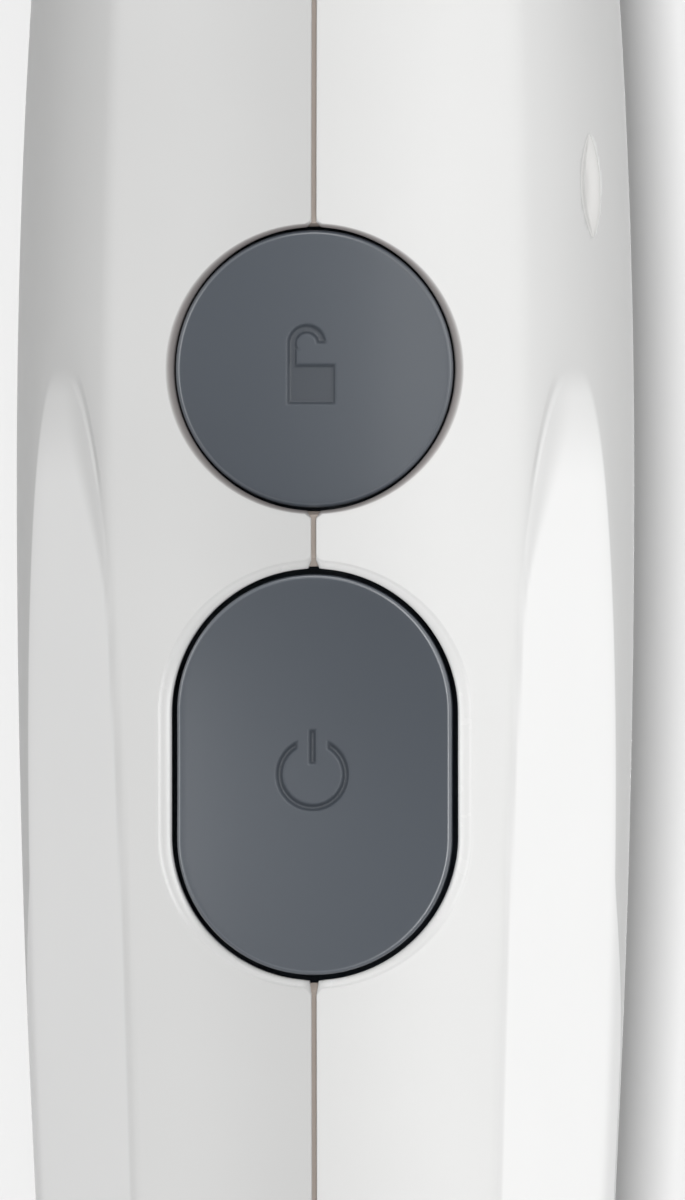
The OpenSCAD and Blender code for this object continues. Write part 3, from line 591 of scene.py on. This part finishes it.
def make_shell(name, side):
    with_lens = side > 0
    across = np.radians(lines((-90, 0.9), (-20, 1.0), (12, 2.2), (90, 1)))
    fine, coarse = 0.42, 1.3
    along = lines(
        (shell_z, 0.8), (release_z + 7, coarse), (power_z - power_half - 3, fine),
        (lens_z + lens_h / 2 + 1, coarse), (cap_z, 1),
    )
    shell = solid_sheet(
        name, grip_point, grip_normal, lambda p: shell_keep(p, with_lens), across, along, shell_rim,
        lambda points, normals: points + inward(points, normals) * wall,
    )
    skin_values = {
        "facet_edge": facet_edge, "facet_share": facet_share, "facet_pinch": facet_pinch,
        "rim_shade": rim_shade, "near_seam": near_seam, "bevel": bevel_share,
    }
    for value_name, function in skin_values.items():
        vertex_values(shell, value_name, function)
    if side < 0:
        mirror_x(shell)
    return shell


def mirror_x(obj):
    """Mirrors an object's mesh in the plane of the seam."""
    for v in obj.data.vertices:
        v.co.x = -v.co.x
    obj.data.flip_normals()


# ---- Buttons ----


def box_distance(u, v, half_u, half_v):
    du, dv = np.abs(u) - half_u, np.abs(v) - half_v
    return np.hypot(np.clip(du, 0, None), np.clip(dv, 0, None)) + np.minimum(np.maximum(du, dv), 0)


mark_left = 0.2  # both marks stand a little left of the seam


def padlock_distance(u, v):
    """Distance outside the open padlock: its body, and a bow whose left leg stands on it."""
    body_w, body_h, body_top = 4.2, 3.5, 0.4
    stroke, bow_r, bow_z = 0.85, 1.7, 2.2
    overlap = 0.6
    u = u + mark_left
    body = box_distance(u, v - body_top + body_h / 2, body_w / 2, body_h / 2)
    leg_x = -body_w / 2 + stroke / 2
    leg = box_distance(u - leg_x, v - bow_z / 2, stroke / 2, bow_z / 2 + overlap / 2)
    bow_u, bow_v = u + body_w / 2 - bow_r, v - bow_z
    ring = np.abs(np.hypot(bow_u, bow_v) - (bow_r - stroke / 2)) - stroke / 2
    bow = np.maximum(ring, -bow_v - np.where(bow_u < 0, overlap, 0))
    return np.minimum(np.minimum(body, leg), bow)


def power_distance(u, v):
    """Distance outside the ring with a bar through its open top."""
    ring_r, stroke = 3.2, 0.62
    bar_z, bar_half = 2.4, 1.5
    u = u + mark_left
    ring = np.abs(np.hypot(u, v) - (ring_r - stroke / 2)) - stroke / 2
    gap = box_distance(u, v - ring_r, 1.3, 2.2)
    ring = np.maximum(ring, -gap)
    bar = box_distance(u, v - bar_z, stroke / 2, bar_half)
    return np.minimum(ring, bar)


def debossed(distance):
    """Depth of a mark whose walls slope and whose floor is flat."""
    return mark_depth * (1 - fade(distance, -0.28, 0.08))


def unlock_face(x, z):
    """Depth of the unlock button's crowned face."""
    v = z - unlock_z
    crown = x * x / (2 * (front_y - face_y)) + v * v / (2 * crown_r)
    return face_y + crown + debossed(padlock_distance(x, v))


def power_face(x, z):
    """Depth of the power button's dished face."""
    v = z - power_z
    return face_y + dish_depth - (x * x + v * v) / (2 * dish_r) + debossed(power_distance(x, v))


def unlock_keep(points):
    """Distance inside the unlock button's face, up to its rounded edge."""
    return -circle_distance(points[..., 0], points[..., 2] - unlock_z, unlock_r - button_round)


def power_keep(points):
    """Distance inside the power button's face, up to its rounded edge."""
    v = points[..., 2] - power_z
    return -stadium_distance(points[..., 0], v, power_r - button_round, power_half - button_round)


def dress_cap(cap, keep, mark, middle_z):
    """Stores where a cap's rounded edge and its mark are, for the painted highlight on the edge and the
    painted shade in the mark, and gives it the buttons' material.
    """
    vertex_values(cap, "edge", lambda p: fade(-keep(p), 0.01, 0.12))
    vertex_values(cap, "mark", lambda p: 1 - fade(mark(p[:, 0], p[:, 2] - middle_z), -0.25, 0.05))
    dress(cap, button_grey)


def make_button(name, face, keep, middle_z, straight, r, plate, across, along):
    """Hollow cap with a shaped face, a rounded edge and a flange behind the panel. Its outline is a
    circle of radius r, drawn out by straight above and below middle_z."""
    share = (r - cap_wall) / (r - button_round)

    def inner(points, y):
        """Points moved in to the cap's inner wall, at depth y or behind the face by plate."""
        v = points[:, 2] - middle_z
        spine = np.clip(v, -straight, straight)
        x, z = points[:, 0] * share, middle_z + spine + (v - spine) * share
        depth = face(x, z) + plate if y is None else np.full(len(points), y)
        return np.stack([x, depth, z], -1)

    def place(a, b):
        return np.stack([a, face(a, b), b], -1)

    def normal(points):
        step = 0.02
        x, z = points[:, 0], points[:, 2]
        dx = (face(x + step, z) - face(x - step, z)) / (2 * step)
        dz = (face(x, z + step) - face(x, z - step)) / (2 * step)
        return unit(np.stack([dx, -np.ones_like(dx), dz], -1))

    def rim(points, normals, out):
        flat = unit(out * np.array([1, 0, 1]))
        rings = []
        for turn in (15, 30, 45, 60, 75, 90):
            t = math.radians(turn)
            ring = points + out * button_round * math.sin(t)
            ring[:, 1] += button_round * (1 - math.cos(t))
            rings.append(ring)
        wall_foot = rings[-1].copy()
        wall_foot[:, 1] = flange_level
        flange = wall_foot + flat * flange_out
        flange_back = flange + np.array([0, flange_t, 0])
        inner_foot = inner(points, flange_level + flange_t)
        return rings + [wall_foot, flange, flange_back, inner_foot, inner(points, None)]

    return solid_sheet(
        name, place, normal, keep, across, along, rim, lambda points, normals: inner(points, None)
    )


def make_stem(name, face, z, y_end):
    """Round stem from the back of a button's cap to the switch that it presses."""
    stem_r, bevel, sides = 2.0, 0.3, 36
    sunk = 0.4  # how far behind the cap's face the stem starts
    start = face(0, z) + sunk
    rings = [(0, start), (stem_r, start), (stem_r, y_end - bevel), (stem_r - bevel, y_end), (0, y_end)]
    points = []
    for r, y in rings:
        for k in range(sides):
            turn = 2 * math.pi * k / sides
            points.append((r * math.cos(turn), float(y), z + r * math.sin(turn)))
    return mesh_object(name, *welded(points, tube_faces(len(rings), sides)), crease=40)


def spring_joint(node):
    """The joint that a CAD spring shortens with, and its fixed end along its axis in millimetres."""
    for joint in frame["record"]["behaviour"]["joints"]:
        for spring in joint.get("deforming_nodes", []):
            if spring["node"] == node:
                axis = "xyz".index(spring["mode"][-1])
                return joint, axis, spring["fixed_end_" + "xyz"[axis] + "_m"] / MM


def add_spring(name, node, wire_r, seat=None):
    """Coil in a CAD spring's place, attached to the handle. seat moves its low end."""
    wire_sides, steps, turns = 8, 24, 6
    joint, axis, fixed = spring_joint(node)
    low, high = node_box(node)
    middle = (low + high) / 2
    start, end = low[axis] if seat is None else seat, high[axis]
    u, v = (axis + 1) % 3, (axis + 2) % 3
    coil_r = (high[u] - low[u]) / 2 - wire_r
    count = turns * steps
    points = []
    for k in range(count + 1):
        turn = 2 * math.pi * k / steps
        level = start + wire_r + (end - start - 2 * wire_r) * k / count
        for side in range(wire_sides):
            tilt = 2 * math.pi * side / wire_sides
            reach = coil_r + wire_r * math.cos(tilt)
            point = np.zeros(3)
            point[u] = middle[u] + reach * math.cos(turn)
            point[v] = middle[v] + reach * math.sin(turn)
            point[axis] = level + wire_r * math.sin(tilt)
            points.append(point)
    faces = tube_faces(count + 1, wire_sides)
    faces.append(tuple(range(wire_sides)))
    faces.append(tuple(reversed(range(count * wire_sides, (count + 1) * wire_sides))))
    slot = next(p["material_slot"] for p in frame["record"]["subparts"] if p["node"] == node)
    spring = add_piece(mesh_object(name, points, faces), slot, "handle", node)
    direction, anchor = np.zeros(3), middle.copy()
    direction[axis], anchor[axis] = 1, fixed
    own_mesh(spring)


def welded(points, faces):
    """Points with doubles merged, and the faces that are left."""
    kept, new_id = np.unique(np.round(points, 5), axis=0, return_inverse=True)
    new_id = new_id.ravel()
    merged = [list(dict.fromkeys(new_id[list(face)].tolist())) for face in faces]
    return kept, [face for face in merged if len(face) > 2]


def make_unlock():
    r = unlock_r - button_round
    grid = lines((-r - 1, 0.5), (-3, 0.09), (3, 0.5), (r + 1, 1))
    rows = unlock_z + lines((-r - 1, 0.5), (-4.2, 0.09), (4.3, 0.5), (r + 1, 1))
    return make_button(
        "unlock_cap", unlock_face, unlock_keep, unlock_z, 0.0, unlock_r, unlock_plate, grid, rows,
    )


def make_power():
    r, half = power_r - button_round, power_half - button_round
    grid = lines((-r - 1, 0.5), (-3.7, 0.09), (3.7, 0.5), (r + 1, 1))
    rows = power_z + lines((-half - 1, 0.5), (-3.8, 0.09), (4.6, 0.5), (half + 1, 1))
    return make_button(
        "power_cap", power_face, power_keep, power_z, power_half - power_r, power_r, power_plate,
        grid, rows,
    )


# ---- Materials ----


def new_tree(name):
    material = bpy.data.materials.new(name)
    material.use_nodes = True
    tree = material.node_tree
    tree.nodes.clear()
    return material, tree


def add(tree, kind, settings=None, **inputs):
    """Adds a node. Inputs are numbers, colours or other nodes' outputs, named as on the node."""
    made = tree.nodes.new("ShaderNode" + kind)
    for key, value in (settings or {}).items():
        setattr(made, key, value)
    for key, value in inputs.items():
        socket = made.inputs[key.replace("_", " ")]
        if isinstance(value, bpy.types.NodeSocket):
            tree.links.new(value, socket)
        elif value is not None:
            socket.default_value = value
    return made


def rgba(colour):
    return (*colour, 1.0)


def noise(tree, scale, detail=2.0, stretch=(1, 1, 1)):
    """Noise with about scale features a millimetre, stretched along the axes."""
    spot = add(tree, "TexCoord").outputs["Object"]
    mapped = add(tree, "Mapping", Vector=spot, Scale=[s * scale / MM for s in stretch])
    return add(tree, "TexNoise", Vector=mapped.outputs["Vector"], Scale=1.0, Detail=detail).outputs["Fac"]


def between(tree, share, low, high, start=0.0, end=1.0, kind="LINEAR"):
    """low where share is at start and before it, high where it is at end and after it."""
    ends = {"From_Min": start, "From_Max": end, "To_Min": low, "To_Max": high}
    return add(tree, "MapRange", {"interpolation_type": kind}, Value=share, **ends).outputs["Result"]


def spread(tree, value, low, high):
    """Maps the middle of a noise to a range of numbers."""
    return between(tree, value, low, high, 0.3, 0.7)


def ranged(tree, value, start, end):
    """0 before start, 1 after end, smooth between them."""
    return between(tree, value, 0.0, 1.0, start, end, "SMOOTHSTEP")


def mix_colours(tree, share, first, second):
    """Mix of two colours, or of two nodes' colours."""
    made = add(tree, "Mix", {"data_type": "RGBA"})
    tree.links.new(share, made.inputs[0])
    for socket, value in ((made.inputs[6], first), (made.inputs[7], second)):
        if isinstance(value, bpy.types.NodeSocket):
            tree.links.new(value, socket)
        else:
            socket.default_value = rgba(value)
    return made.outputs[2]


def tint(tree, value, first, second):
    """Mix of two colours by a noise."""
    return mix_colours(tree, spread(tree, value, 0.0, 1.0), first, second)


def mix_shaders(tree, output, share, first, second):
    """Sends first where share is 0, and second where it is 1, to a new output node."""
    mix = add(tree, "MixShader")
    for socket, value in zip(mix.inputs, (share, first, second)):
        tree.links.new(value, socket)
    tree.links.new(mix.outputs[0], add(tree, output).inputs["Surface"])


def finish_material(tree, shader):
    output = add(tree, "OutputMaterial")
    tree.links.new(shader.outputs["BSDF"], output.inputs["Surface"])


def grained(tree, scale=4.0, depth=0.004, normal=None):
    """Direction of a surface with the fine grain of moulded plastic."""
    fine = noise(tree, scale)
    bump = add(tree, "Bump", Strength=0.6, Distance=depth * MM, Height=fine, Normal=normal)
    return bump.outputs["Normal"]


def moulded(name, colour, rough, grain=4.0, depth=0.004, vary=0.03, specular=0.5, coat=0.0):
    """Moulded plastic: faint clouding, and a fine grain in the surface and its gloss."""
    material, tree = new_tree(name)
    cloud = noise(tree, 0.05, 3.0)
    darker = [c * (1 - vary) for c in colour]
    shader = add(
        tree, "BsdfPrincipled",
        Base_Color=tint(tree, cloud, darker, colour),
        Roughness=spread(tree, noise(tree, 0.6, 3.0), rough - 0.03, rough + 0.03),
        Specular_IOR_Level=specular,
        Normal=grained(tree, grain, depth),
        Coat_Weight=coat,
        Coat_Roughness=0.2,
    )
    finish_material(tree, shader)
    return material


def metal(name, colour, rough, stretch=(0.05, 0.05, 6.0), depth=0.003, vary=0.12):
    """Metal with fine turning or brushing lines."""
    material, tree = new_tree(name)
    fine = noise(tree, 1.0, 3.0, stretch)
    bump = add(tree, "Bump", Strength=0.5, Distance=depth * MM, Height=fine)
    darker = [c * (1 - vary) for c in colour]
    shader = add(
        tree, "BsdfPrincipled",
        Base_Color=tint(tree, fine, darker, colour),
        Roughness=spread(tree, fine, rough - 0.02, rough + 0.04),
        Metallic=1.0,
        Normal=bump.outputs["Normal"],
    )
    finish_material(tree, shader)
    return material


def math_node(tree, operation, first, second=None):
    made = add(tree, "Math", {"operation": operation})
    for socket, value in zip(made.inputs, (first, second)):
        if isinstance(value, bpy.types.NodeSocket):
            tree.links.new(value, socket)
        elif value is not None:
            socket.default_value = value
    return made.outputs[0]


def stored(tree, name):
    return add(tree, "Attribute", {"attribute_name": name}).outputs["Fac"]


def grip_plastic(name, body, facet, rim):
    """Satin white plastic, painted darker towards the seam as painted shade. The leaf-shaped facets are
    painted a lighter white, painted light for the sheen they catch, with a groove at their tips, and the
    slope round the unlock button is painted a dull grey-brown that darkens towards its foot, painted
    shade where it falls into the gap."""
    material, tree = new_tree(name)
    cloud = noise(tree, 0.05, 3.0)
    body_colour = tint(tree, cloud, [c * 0.975 for c in body], body)
    # painted shade: the face is painted darker towards the seam
    seam_face_shade = 0.09  # how much darker the face is at the seam
    seam_shade_share = math_node(tree, "MULTIPLY", stored(tree, "near_seam"), seam_face_shade)
    body_colour = mix_colours(tree, seam_shade_share, body_colour, (0, 0, 0))
    # painted light: the facets are painted a lighter white for the sheen they catch
    facet_painted_light = tint(tree, cloud, [c * 0.985 for c in facet], facet)
    edge = stored(tree, "facet_edge")
    share = math_node(tree, "MULTIPLY", ranged(tree, edge, -0.03, 0.06), stored(tree, "facet_share"))
    near = ranged(tree, math_node(tree, "ABSOLUTE", edge), 0.09, 0.0)
    groove = math_node(tree, "MULTIPLY", near, stored(tree, "facet_pinch"))
    pinch = add(tree, "Bump", {"invert": True}, Strength=1.0, Distance=0.07 * MM, Height=groove)
    bevel = stored(tree, "bevel")
    polish = 0.22  # how much less rough the slope round the power button is
    satin = spread(tree, noise(tree, 0.6, 3.0), 0.44, 0.5)
    shader = add(
        tree, "BsdfPrincipled",
        # painted shade on the unlock button's slope, mixed over the facets' painted light and the face
        Base_Color=mix_colours(
            tree, stored(tree, "rim_shade"), mix_colours(tree, share, body_colour, facet_painted_light), rim
        ),
        Roughness=math_node(tree, "SUBTRACT", satin, math_node(tree, "MULTIPLY", bevel, polish)),
        Specular_IOR_Level=between(tree, bevel, 0.12, 0.4),
        Normal=grained(tree, normal=pinch.outputs["Normal"]),
    )
    finish_material(tree, shader)
    return material


def button_plastic(name, colour):
    """Satin grey plastic whose rounded edges are glossier and painted a lighter grey, a painted
    highlight, and whose marks are painted darker, as painted shade in their hollows.
    """
    material, tree = new_tree(name)
    edge = stored(tree, "edge")
    dull = tint(tree, noise(tree, 0.05, 3.0), [c * 0.94 for c in colour], colour)
    # painted shade: the debossed marks are painted darker
    mark_painted_shade = 0.2
    mark = math_node(tree, "MULTIPLY", stored(tree, "mark"), mark_painted_shade)
    dull = mix_colours(tree, mark, dull, (0, 0, 0))
    shader = add(
        tree, "BsdfPrincipled",
        # painted highlight: the rounded edges are painted a lighter grey, besides being glossier
        Base_Color=mix_colours(tree, edge, dull, [c * 1.2 for c in colour]),
        Roughness=between(tree, edge, 0.5, 0.28),
        Specular_IOR_Level=between(tree, edge, 0.4, 1.0),
        Normal=grained(tree),
        Coat_Weight=0.08,
        Coat_Roughness=0.2,
    )
    finish_material(tree, shader)
    return material


slot_materials = {
    "white_plastic": lambda n: moulded(n, (0.68, 0.68, 0.67), 0.45, specular=0.3),
    "grey_plastic": lambda n: moulded(n, (0.058, 0.068, 0.081), 0.5, vary=0.06, specular=0.4, coat=0.08),
    "black_plastic": lambda n: moulded(n, (0.02, 0.02, 0.022), 0.5, depth=0.01),
    "natural_plastic": lambda n: moulded(n, (0.62, 0.58, 0.47), 0.5),
    "stainless": lambda n: metal(n, (0.62, 0.62, 0.61), 0.28, depth=0.0007, vary=0.05),
    "trim_steel": lambda n: metal(n, (0.58, 0.58, 0.57), 0.22, depth=0.0007, vary=0.05),
    "plated_steel": lambda n: metal(n, (0.52, 0.53, 0.54), 0.33, (2.0, 2.0, 2.0)),
    "rubber": lambda n: moulded(n, (0.022, 0.022, 0.022), 0.75, depth=0.02),
    "bronze": lambda n: metal(n, (0.50, 0.33, 0.14), 0.42, (3.0, 3.0, 3.0)),
    "lens_plastic": lambda n: moulded(n, (0.76, 0.755, 0.74), 0.35),
    "led_resin": lambda n: moulded(n, (0.75, 0.68, 0.40), 0.2),
    "circuit_board": lambda n: moulded(n, (0.02, 0.12, 0.05), 0.35, vary=0.35),
    "cell_wrap": lambda n: moulded(n, (0.03, 0.12, 0.32), 0.3, vary=0.1),
    "magnet": lambda n: moulded(n, (0.05, 0.05, 0.05), 0.6, depth=0.02),
    "winding": lambda n: metal(n, (0.42, 0.15, 0.06), 0.35, (4.0, 4.0, 0.4)),
    "copper": lambda n: metal(n, (0.65, 0.30, 0.16), 0.25),
    "carbon": lambda n: moulded(n, (0.015, 0.015, 0.016), 0.55, depth=0.02),
}

materials = {slot: make(slot) for slot, make in slot_materials.items()}


def dress(obj, material):
    obj.data.materials.clear()
    obj.data.materials.append(material)


def dress_cad():
    """Gives every CAD node the material of its slot."""
    for part in frame["record"]["subparts"]:
        obj = frame["nodes"][part["node"]]
        dress(obj, materials[part["material_slot"]])
        obj.data.polygons.foreach_set("use_smooth", [True] * len(obj.data.polygons))
        obj.data.set_sharp_from_angle(angle=math.radians(32))


# ---- Pieces ----


def add_piece(obj, slot, body, *nodes):
    dress(obj, materials[slot])
    if nodes:
        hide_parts(*nodes)
    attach(obj, body)
    return obj


def rim_depth(z):
    """How much deeper the seam's tongue lies at height z, to clear the slopes round the buttons."""
    deeper = 0
    for middle_z, reach, width, most in (
        (unlock_z, unlock_r + unlock_gap, unlock_rim(0, z), 1.1),
        (power_z, power_half + power_gap, power_rim(0, z), 0.5),
    ):
        deeper += np.clip((reach + width - np.abs(z - middle_z)) / width, 0, 1) * most
    return deeper


def make_lip(name, z_low, z_high, front):
    """Tongue of one shell that closes the seam a little below the face."""
    half, under, thick = 0.9, 0.36, 0.5
    count = max(2, round((z_high - z_low) / 3))
    near_end = np.arange(0, 1.5, 0.15)
    rows = np.unique(np.concatenate([
        np.linspace(z_low, z_high, count), z_low + near_end, z_high - near_end
    ]))
    angle = -math.pi / 2 if front else math.pi / 2
    face = grip_point(angle, rows)[:, 1]
    toward = 1 if front else -1
    points, faces = [], []
    for z, y in zip(rows, face):
        top = under + (rim_depth(z) if front else 0)
        for x, depth in ((-half, top), (half, top), (half, top + thick), (-half, top + thick)):
            points.append((x, y + toward * depth, z))
    for k in range(len(rows) - 1):
        for side in range(4):
            a, b = 4 * k + side, 4 * k + (side + 1) % 4
            faces.append((a, b, b + 4, a + 4))
    faces.append((3, 2, 1, 0))
    last = 4 * (len(rows) - 1)
    faces.append((last, last + 1, last + 2, last + 3))
    if not front:
        faces = [tuple(reversed(f)) for f in faces]
    return mesh_object(name, points, faces, smooth=False)


def make_lens():
    """Hollowed pointed oval that fills its hole in the right shell."""
    lens_t = 1.6
    c, s = math.cos(lens_dir), math.sin(lens_dir)

    def place(a, b):
        fall = side_r - drop(lens_z + b)
        edge = -oval_distance(a, b, lens_w, lens_h)
        reach = np.sqrt(np.maximum(fall**2 - a * a, 1)) - 0.01 - 0.5 * fade(edge, -0.1, 1.6)
        x = reach * c - a * s - side_past
        y = -reach * s - a * c + side_y
        return np.stack([x, y, lens_z + b], -1)

    def normal(points):
        u, v, _ = lens_spot(points)
        step = 0.03
        du = place(u + step, v) - place(u - step, v)
        dv = place(u, v + step) - place(u, v - step)
        return unit(np.cross(dv, du))

    out_dir = np.array([c, -s, 0.0])

    def rim(points, normals, out):
        shoulder = points + out * 0.05 - out_dir * 0.05
        return [shoulder, shoulder - out_dir * lens_t / 2, shoulder - out_dir * lens_t]

    return solid_sheet(
        "indicator_window", place, normal, lambda points: -lens_distance(points),
        lines((-2.4, 0.12), (2.4, 1)), lines((-5, 0.2), (5, 1)),
        rim, lambda points, normals: points - out_dir * lens_t,
    )


dress_cad()
right_skin = add_piece(make_shell("right_skin", 1), "white_plastic", "handle", "right_shell")
left_skin = add_piece(make_shell("left_skin", -1), "white_plastic", "handle", "left_shell")
# painted shade: the slope round the unlock button darkens to this grey-brown towards the gap
rim_painted_shade = (0.25, 0.232, 0.228)
# the third colour is the facets' painted light, a lighter white for the sheen they catch
grip_white = grip_plastic("grip_white", (0.68, 0.68, 0.674), (0.93, 0.93, 0.925), rim_painted_shade)
dress(right_skin, grip_white)
dress(left_skin, grip_white)
# painted shade: the seam's tongues, part of the white shells, are coloured a dull grey-brown for the
# shade in the seam's gap
seam_plastic = moulded("seam_plastic", (0.38, 0.33, 0.295), 0.6, specular=0.2)
unlock_cap = add_piece(make_unlock(), "grey_plastic", "unlock", "unlock_button")
power_cap = add_piece(make_power(), "grey_plastic", "power", "power_button")
# The unlock cap stands lower than the modelled button, but its stem stays in the bracket's bore
bore_z = float(unlock_z + unlock_drop)
unlock_stem = make_stem("unlock_stem", unlock_face, bore_z, float(unlock_high[1]))
power_stem = make_stem("power_stem", power_face, float(power_z), float(power_high[1]))
add_piece(unlock_stem, "grey_plastic", "unlock")
add_piece(power_stem, "grey_plastic", "power")
spring_seat = face_y + dish_depth + mark_depth + power_plate + 0.1  # just behind the power cap
button_wire, release_wire = 0.3, 0.22  # radius of the springs' wires
add_spring("unlock_coil", "unlock_spring", button_wire)
add_spring("power_coil", "power_spring", button_wire, spring_seat)
add_spring("left_release_coil", "left_release_spring", release_wire)
add_spring("right_release_coil", "right_release_spring", release_wire)
button_grey = button_plastic("button_grey", (0.056, 0.066, 0.081))
dress_cap(unlock_cap, unlock_keep, padlock_distance, unlock_z)
dress_cap(power_cap, power_keep, power_distance, power_z)
add_piece(make_lens(), "lens_plastic", "handle", "indicator_lens")

# The seam's tongues run between these ends, on the front with a stop at each button
unlock_end = unlock_r + unlock_gap + 0.05
power_end = power_half + power_gap + 0.05
low_end, high_end = shell_z + 0.2, cap_z - 0.2
seam_runs = [
    (low_end, power_z - power_end, True),
    (power_z + power_end, unlock_z - unlock_end, True),
    (unlock_z + unlock_end, high_end, True),
    (low_end, high_end, False),
]
for number, (low, high, at_front) in enumerate(seam_runs):
    tongue = add_piece(make_lip(f"seam_tongue_{number}", low, high, at_front), "white_plastic", "handle")
    # painted shade in the seam's gap
    dress(tongue, seam_plastic)


# ---- Stage, lights and camera ----


def stage_plane(name, corners, material):
    mesh = bpy.data.meshes.new(name)
    mesh.from_pydata(corners, [], [(0, 1, 2, 3)])
    obj = bpy.data.objects.new(name, mesh)
    bpy.context.scene.collection.objects.link(obj)
    dress(obj, material)
    return obj


def paper(tree, colour):
    """Dull paper with a faint clouding."""
    fibre = tint(tree, noise(tree, 0.02), [c * 0.99 for c in colour], colour)
    return add(tree, "BsdfDiffuse", Color=fibre).outputs["BSDF"]


def one_sided(tree, surface, shown):
    """Shows a surface where shown is 1, and never from behind."""
    turned = add(tree, "NewGeometry").outputs["Backfacing"]
    share = math_node(tree, "MULTIPLY", shown, math_node(tree, "SUBTRACT", 1.0, turned))
    clear = add(tree, "BsdfTransparent").outputs["BSDF"]
    mix_shaders(tree, "OutputMaterial", share, clear, surface)


def seen_rays(tree):
    """1 for what the camera sees, also in a mirror or through glass."""
    rays = add(tree, "LightPath").outputs
    mirrored = math_node(tree, "MAXIMUM", rays["Is Camera Ray"], rays["Is Glossy Ray"])
    return math_node(tree, "MAXIMUM", mirrored, rays["Is Transmission Ray"])


def floor_paper():
    """Pale paper that is see-through from below, so that the underside can be looked at."""
    material, tree = new_tree("floor_paper")
    camera_ray = add(tree, "LightPath").outputs["Is Camera Ray"]
    turned = add(tree, "NewGeometry").outputs["Backfacing"]
    hidden = math_node(tree, "MULTIPLY", camera_ray, turned)
    clear = add(tree, "BsdfTransparent").outputs["BSDF"]
    mix_shaders(tree, "OutputMaterial", hidden, paper(tree, (0.82,) * 3), clear)
    return material


def backdrop_paper():
    """Pale paper behind the object. It takes no part in lighting it, and clears when seen edge on."""
    material, tree = new_tree("backdrop_paper")
    grazing = add(tree, "LayerWeight", Blend=0.5).outputs["Facing"]
    faces_us = ranged(tree, grazing, 0.9, 0.75)
    one_sided(tree, paper(tree, (0.55,) * 3), math_node(tree, "MULTIPLY", seen_rays(tree), faces_us))
    return material


def area_light(name, spot, aim, size, power, only=None):
    """Soft lamp at spot that points at aim. It lights only the given objects, if there are any."""
    light = bpy.data.lights.new(name, "AREA")
    light.shape = "RECTANGLE"
    light.size, light.size_y = size
    light.energy = power
    obj = bpy.data.objects.new(name, light)
    obj.location = spot
    obj.rotation_euler = (Vector(aim) - Vector(spot)).to_track_quat("-Z", "Y").to_euler()
    bpy.context.scene.collection.objects.link(obj)
    if only is not None:
        receivers = bpy.data.collections.new(name + "_receivers")
        for o in only:
            receivers.objects.link(o)
        obj.light_linking.receiver_collection = receivers


def around(angle, distance, height):
    """Point at a distance from the object, at an angle to the right of its front."""
    a = math.radians(angle)
    return (distance * math.sin(a), -distance * math.cos(a), height)


far = 3  # reach of the floor and the backdrop
wall_y = 0.034  # just behind the rim of the blade guard
floor = stage_plane(
    "floor", [(-far, -far, 0), (far, -far, 0), (far, far, 0), (-far, far, 0)], floor_paper()
)
backdrop = stage_plane(
    "backdrop", [(-far, wall_y, 0), (far, wall_y, 0), (far, wall_y, far), (-far, wall_y, far)],
    backdrop_paper(),
)

pieces = [o for o in bpy.context.scene.objects if o.type == "MESH" and o not in (floor, backdrop)]
# The photograph's light steps at the seam, so some lamps leave out a shell or light only one
middle = (0, 0, 0.3)
strip = (0.4, 1.0)
but_right = [o for o in pieces if o != right_skin]
but_skins = [o for o in but_right if o != left_skin]
area_light("key", around(19, 1.2, 0.33), middle, strip, 8.3, pieces)
area_light("above", around(0, 0.9, 1.3), middle, (0.6, 0.6), 3.2, pieces)
area_light("left", around(-52, 1.2, 0.33), middle, strip, 4.8, but_right)
area_light("front", around(-25, 1.2, 0.33), middle, strip, 6.6, [right_skin])
area_light("fill", around(85, 1.2, 0.33), middle, strip, 4.2, [right_skin])
area_light("right", around(70, 1.2, 0.45), middle, (0.5, 1.0), 2.4, but_skins)
area_light("rear", around(180, 1.5, 0.6), middle, strip, 15.0, pieces)
area_light("overhead", (0.3, -0.3, 2.2), (0, 0, 0), (0.8, 0.8), 38.0, [floor])
area_light("wall_lamp", around(-1.6, 2.4, 0.33), middle, (0.31, 0.31), 61.0, [backdrop])
area_light("wall_fill", around(0, 2.4, 0.4), middle, (1.8, 1.8), 25.0, [backdrop])

world = bpy.data.worlds.new("studio")
bpy.context.scene.world = world
world.use_nodes = True
tree = world.node_tree
tree.nodes.clear()
shown = add(tree, "Background", Color=(1, 1, 1, 1), Strength=1.0).outputs[0]
ambient = add(tree, "Background", Color=(1, 1, 1, 1), Strength=0.12).outputs[0]
mix_shaders(tree, "OutputWorld", seen_rays(tree), ambient, shown)

scene = bpy.context.scene
scene.view_settings.view_transform = "Standard"

# The photograph shows 105 mm of the grip's height, with the seam a little left of the middle
view_height = 0.1045
view_azimuth = math.radians(2.4)
aim_right, aim_down = 2.53, 20.44  # from the seam, and from the top of the facets
aim = Vector((aim_right * MM, -grip_front * MM, (facet_z - aim_down) * MM))
camera_data = bpy.data.cameras.new("camera")
camera_data.lens = 980
camera_data.sensor_width = 36
camera_data.clip_end = 100
distance = camera_data.lens / camera_data.sensor_width * view_height
camera = bpy.data.objects.new("camera", camera_data)
camera.location = aim + Vector((math.sin(view_azimuth), -math.cos(view_azimuth), 0)) * distance
camera.rotation_euler = (aim - camera.location).to_track_quat("-Z", "Y").to_euler()
scene.collection.objects.link(camera)
scene.camera = camera
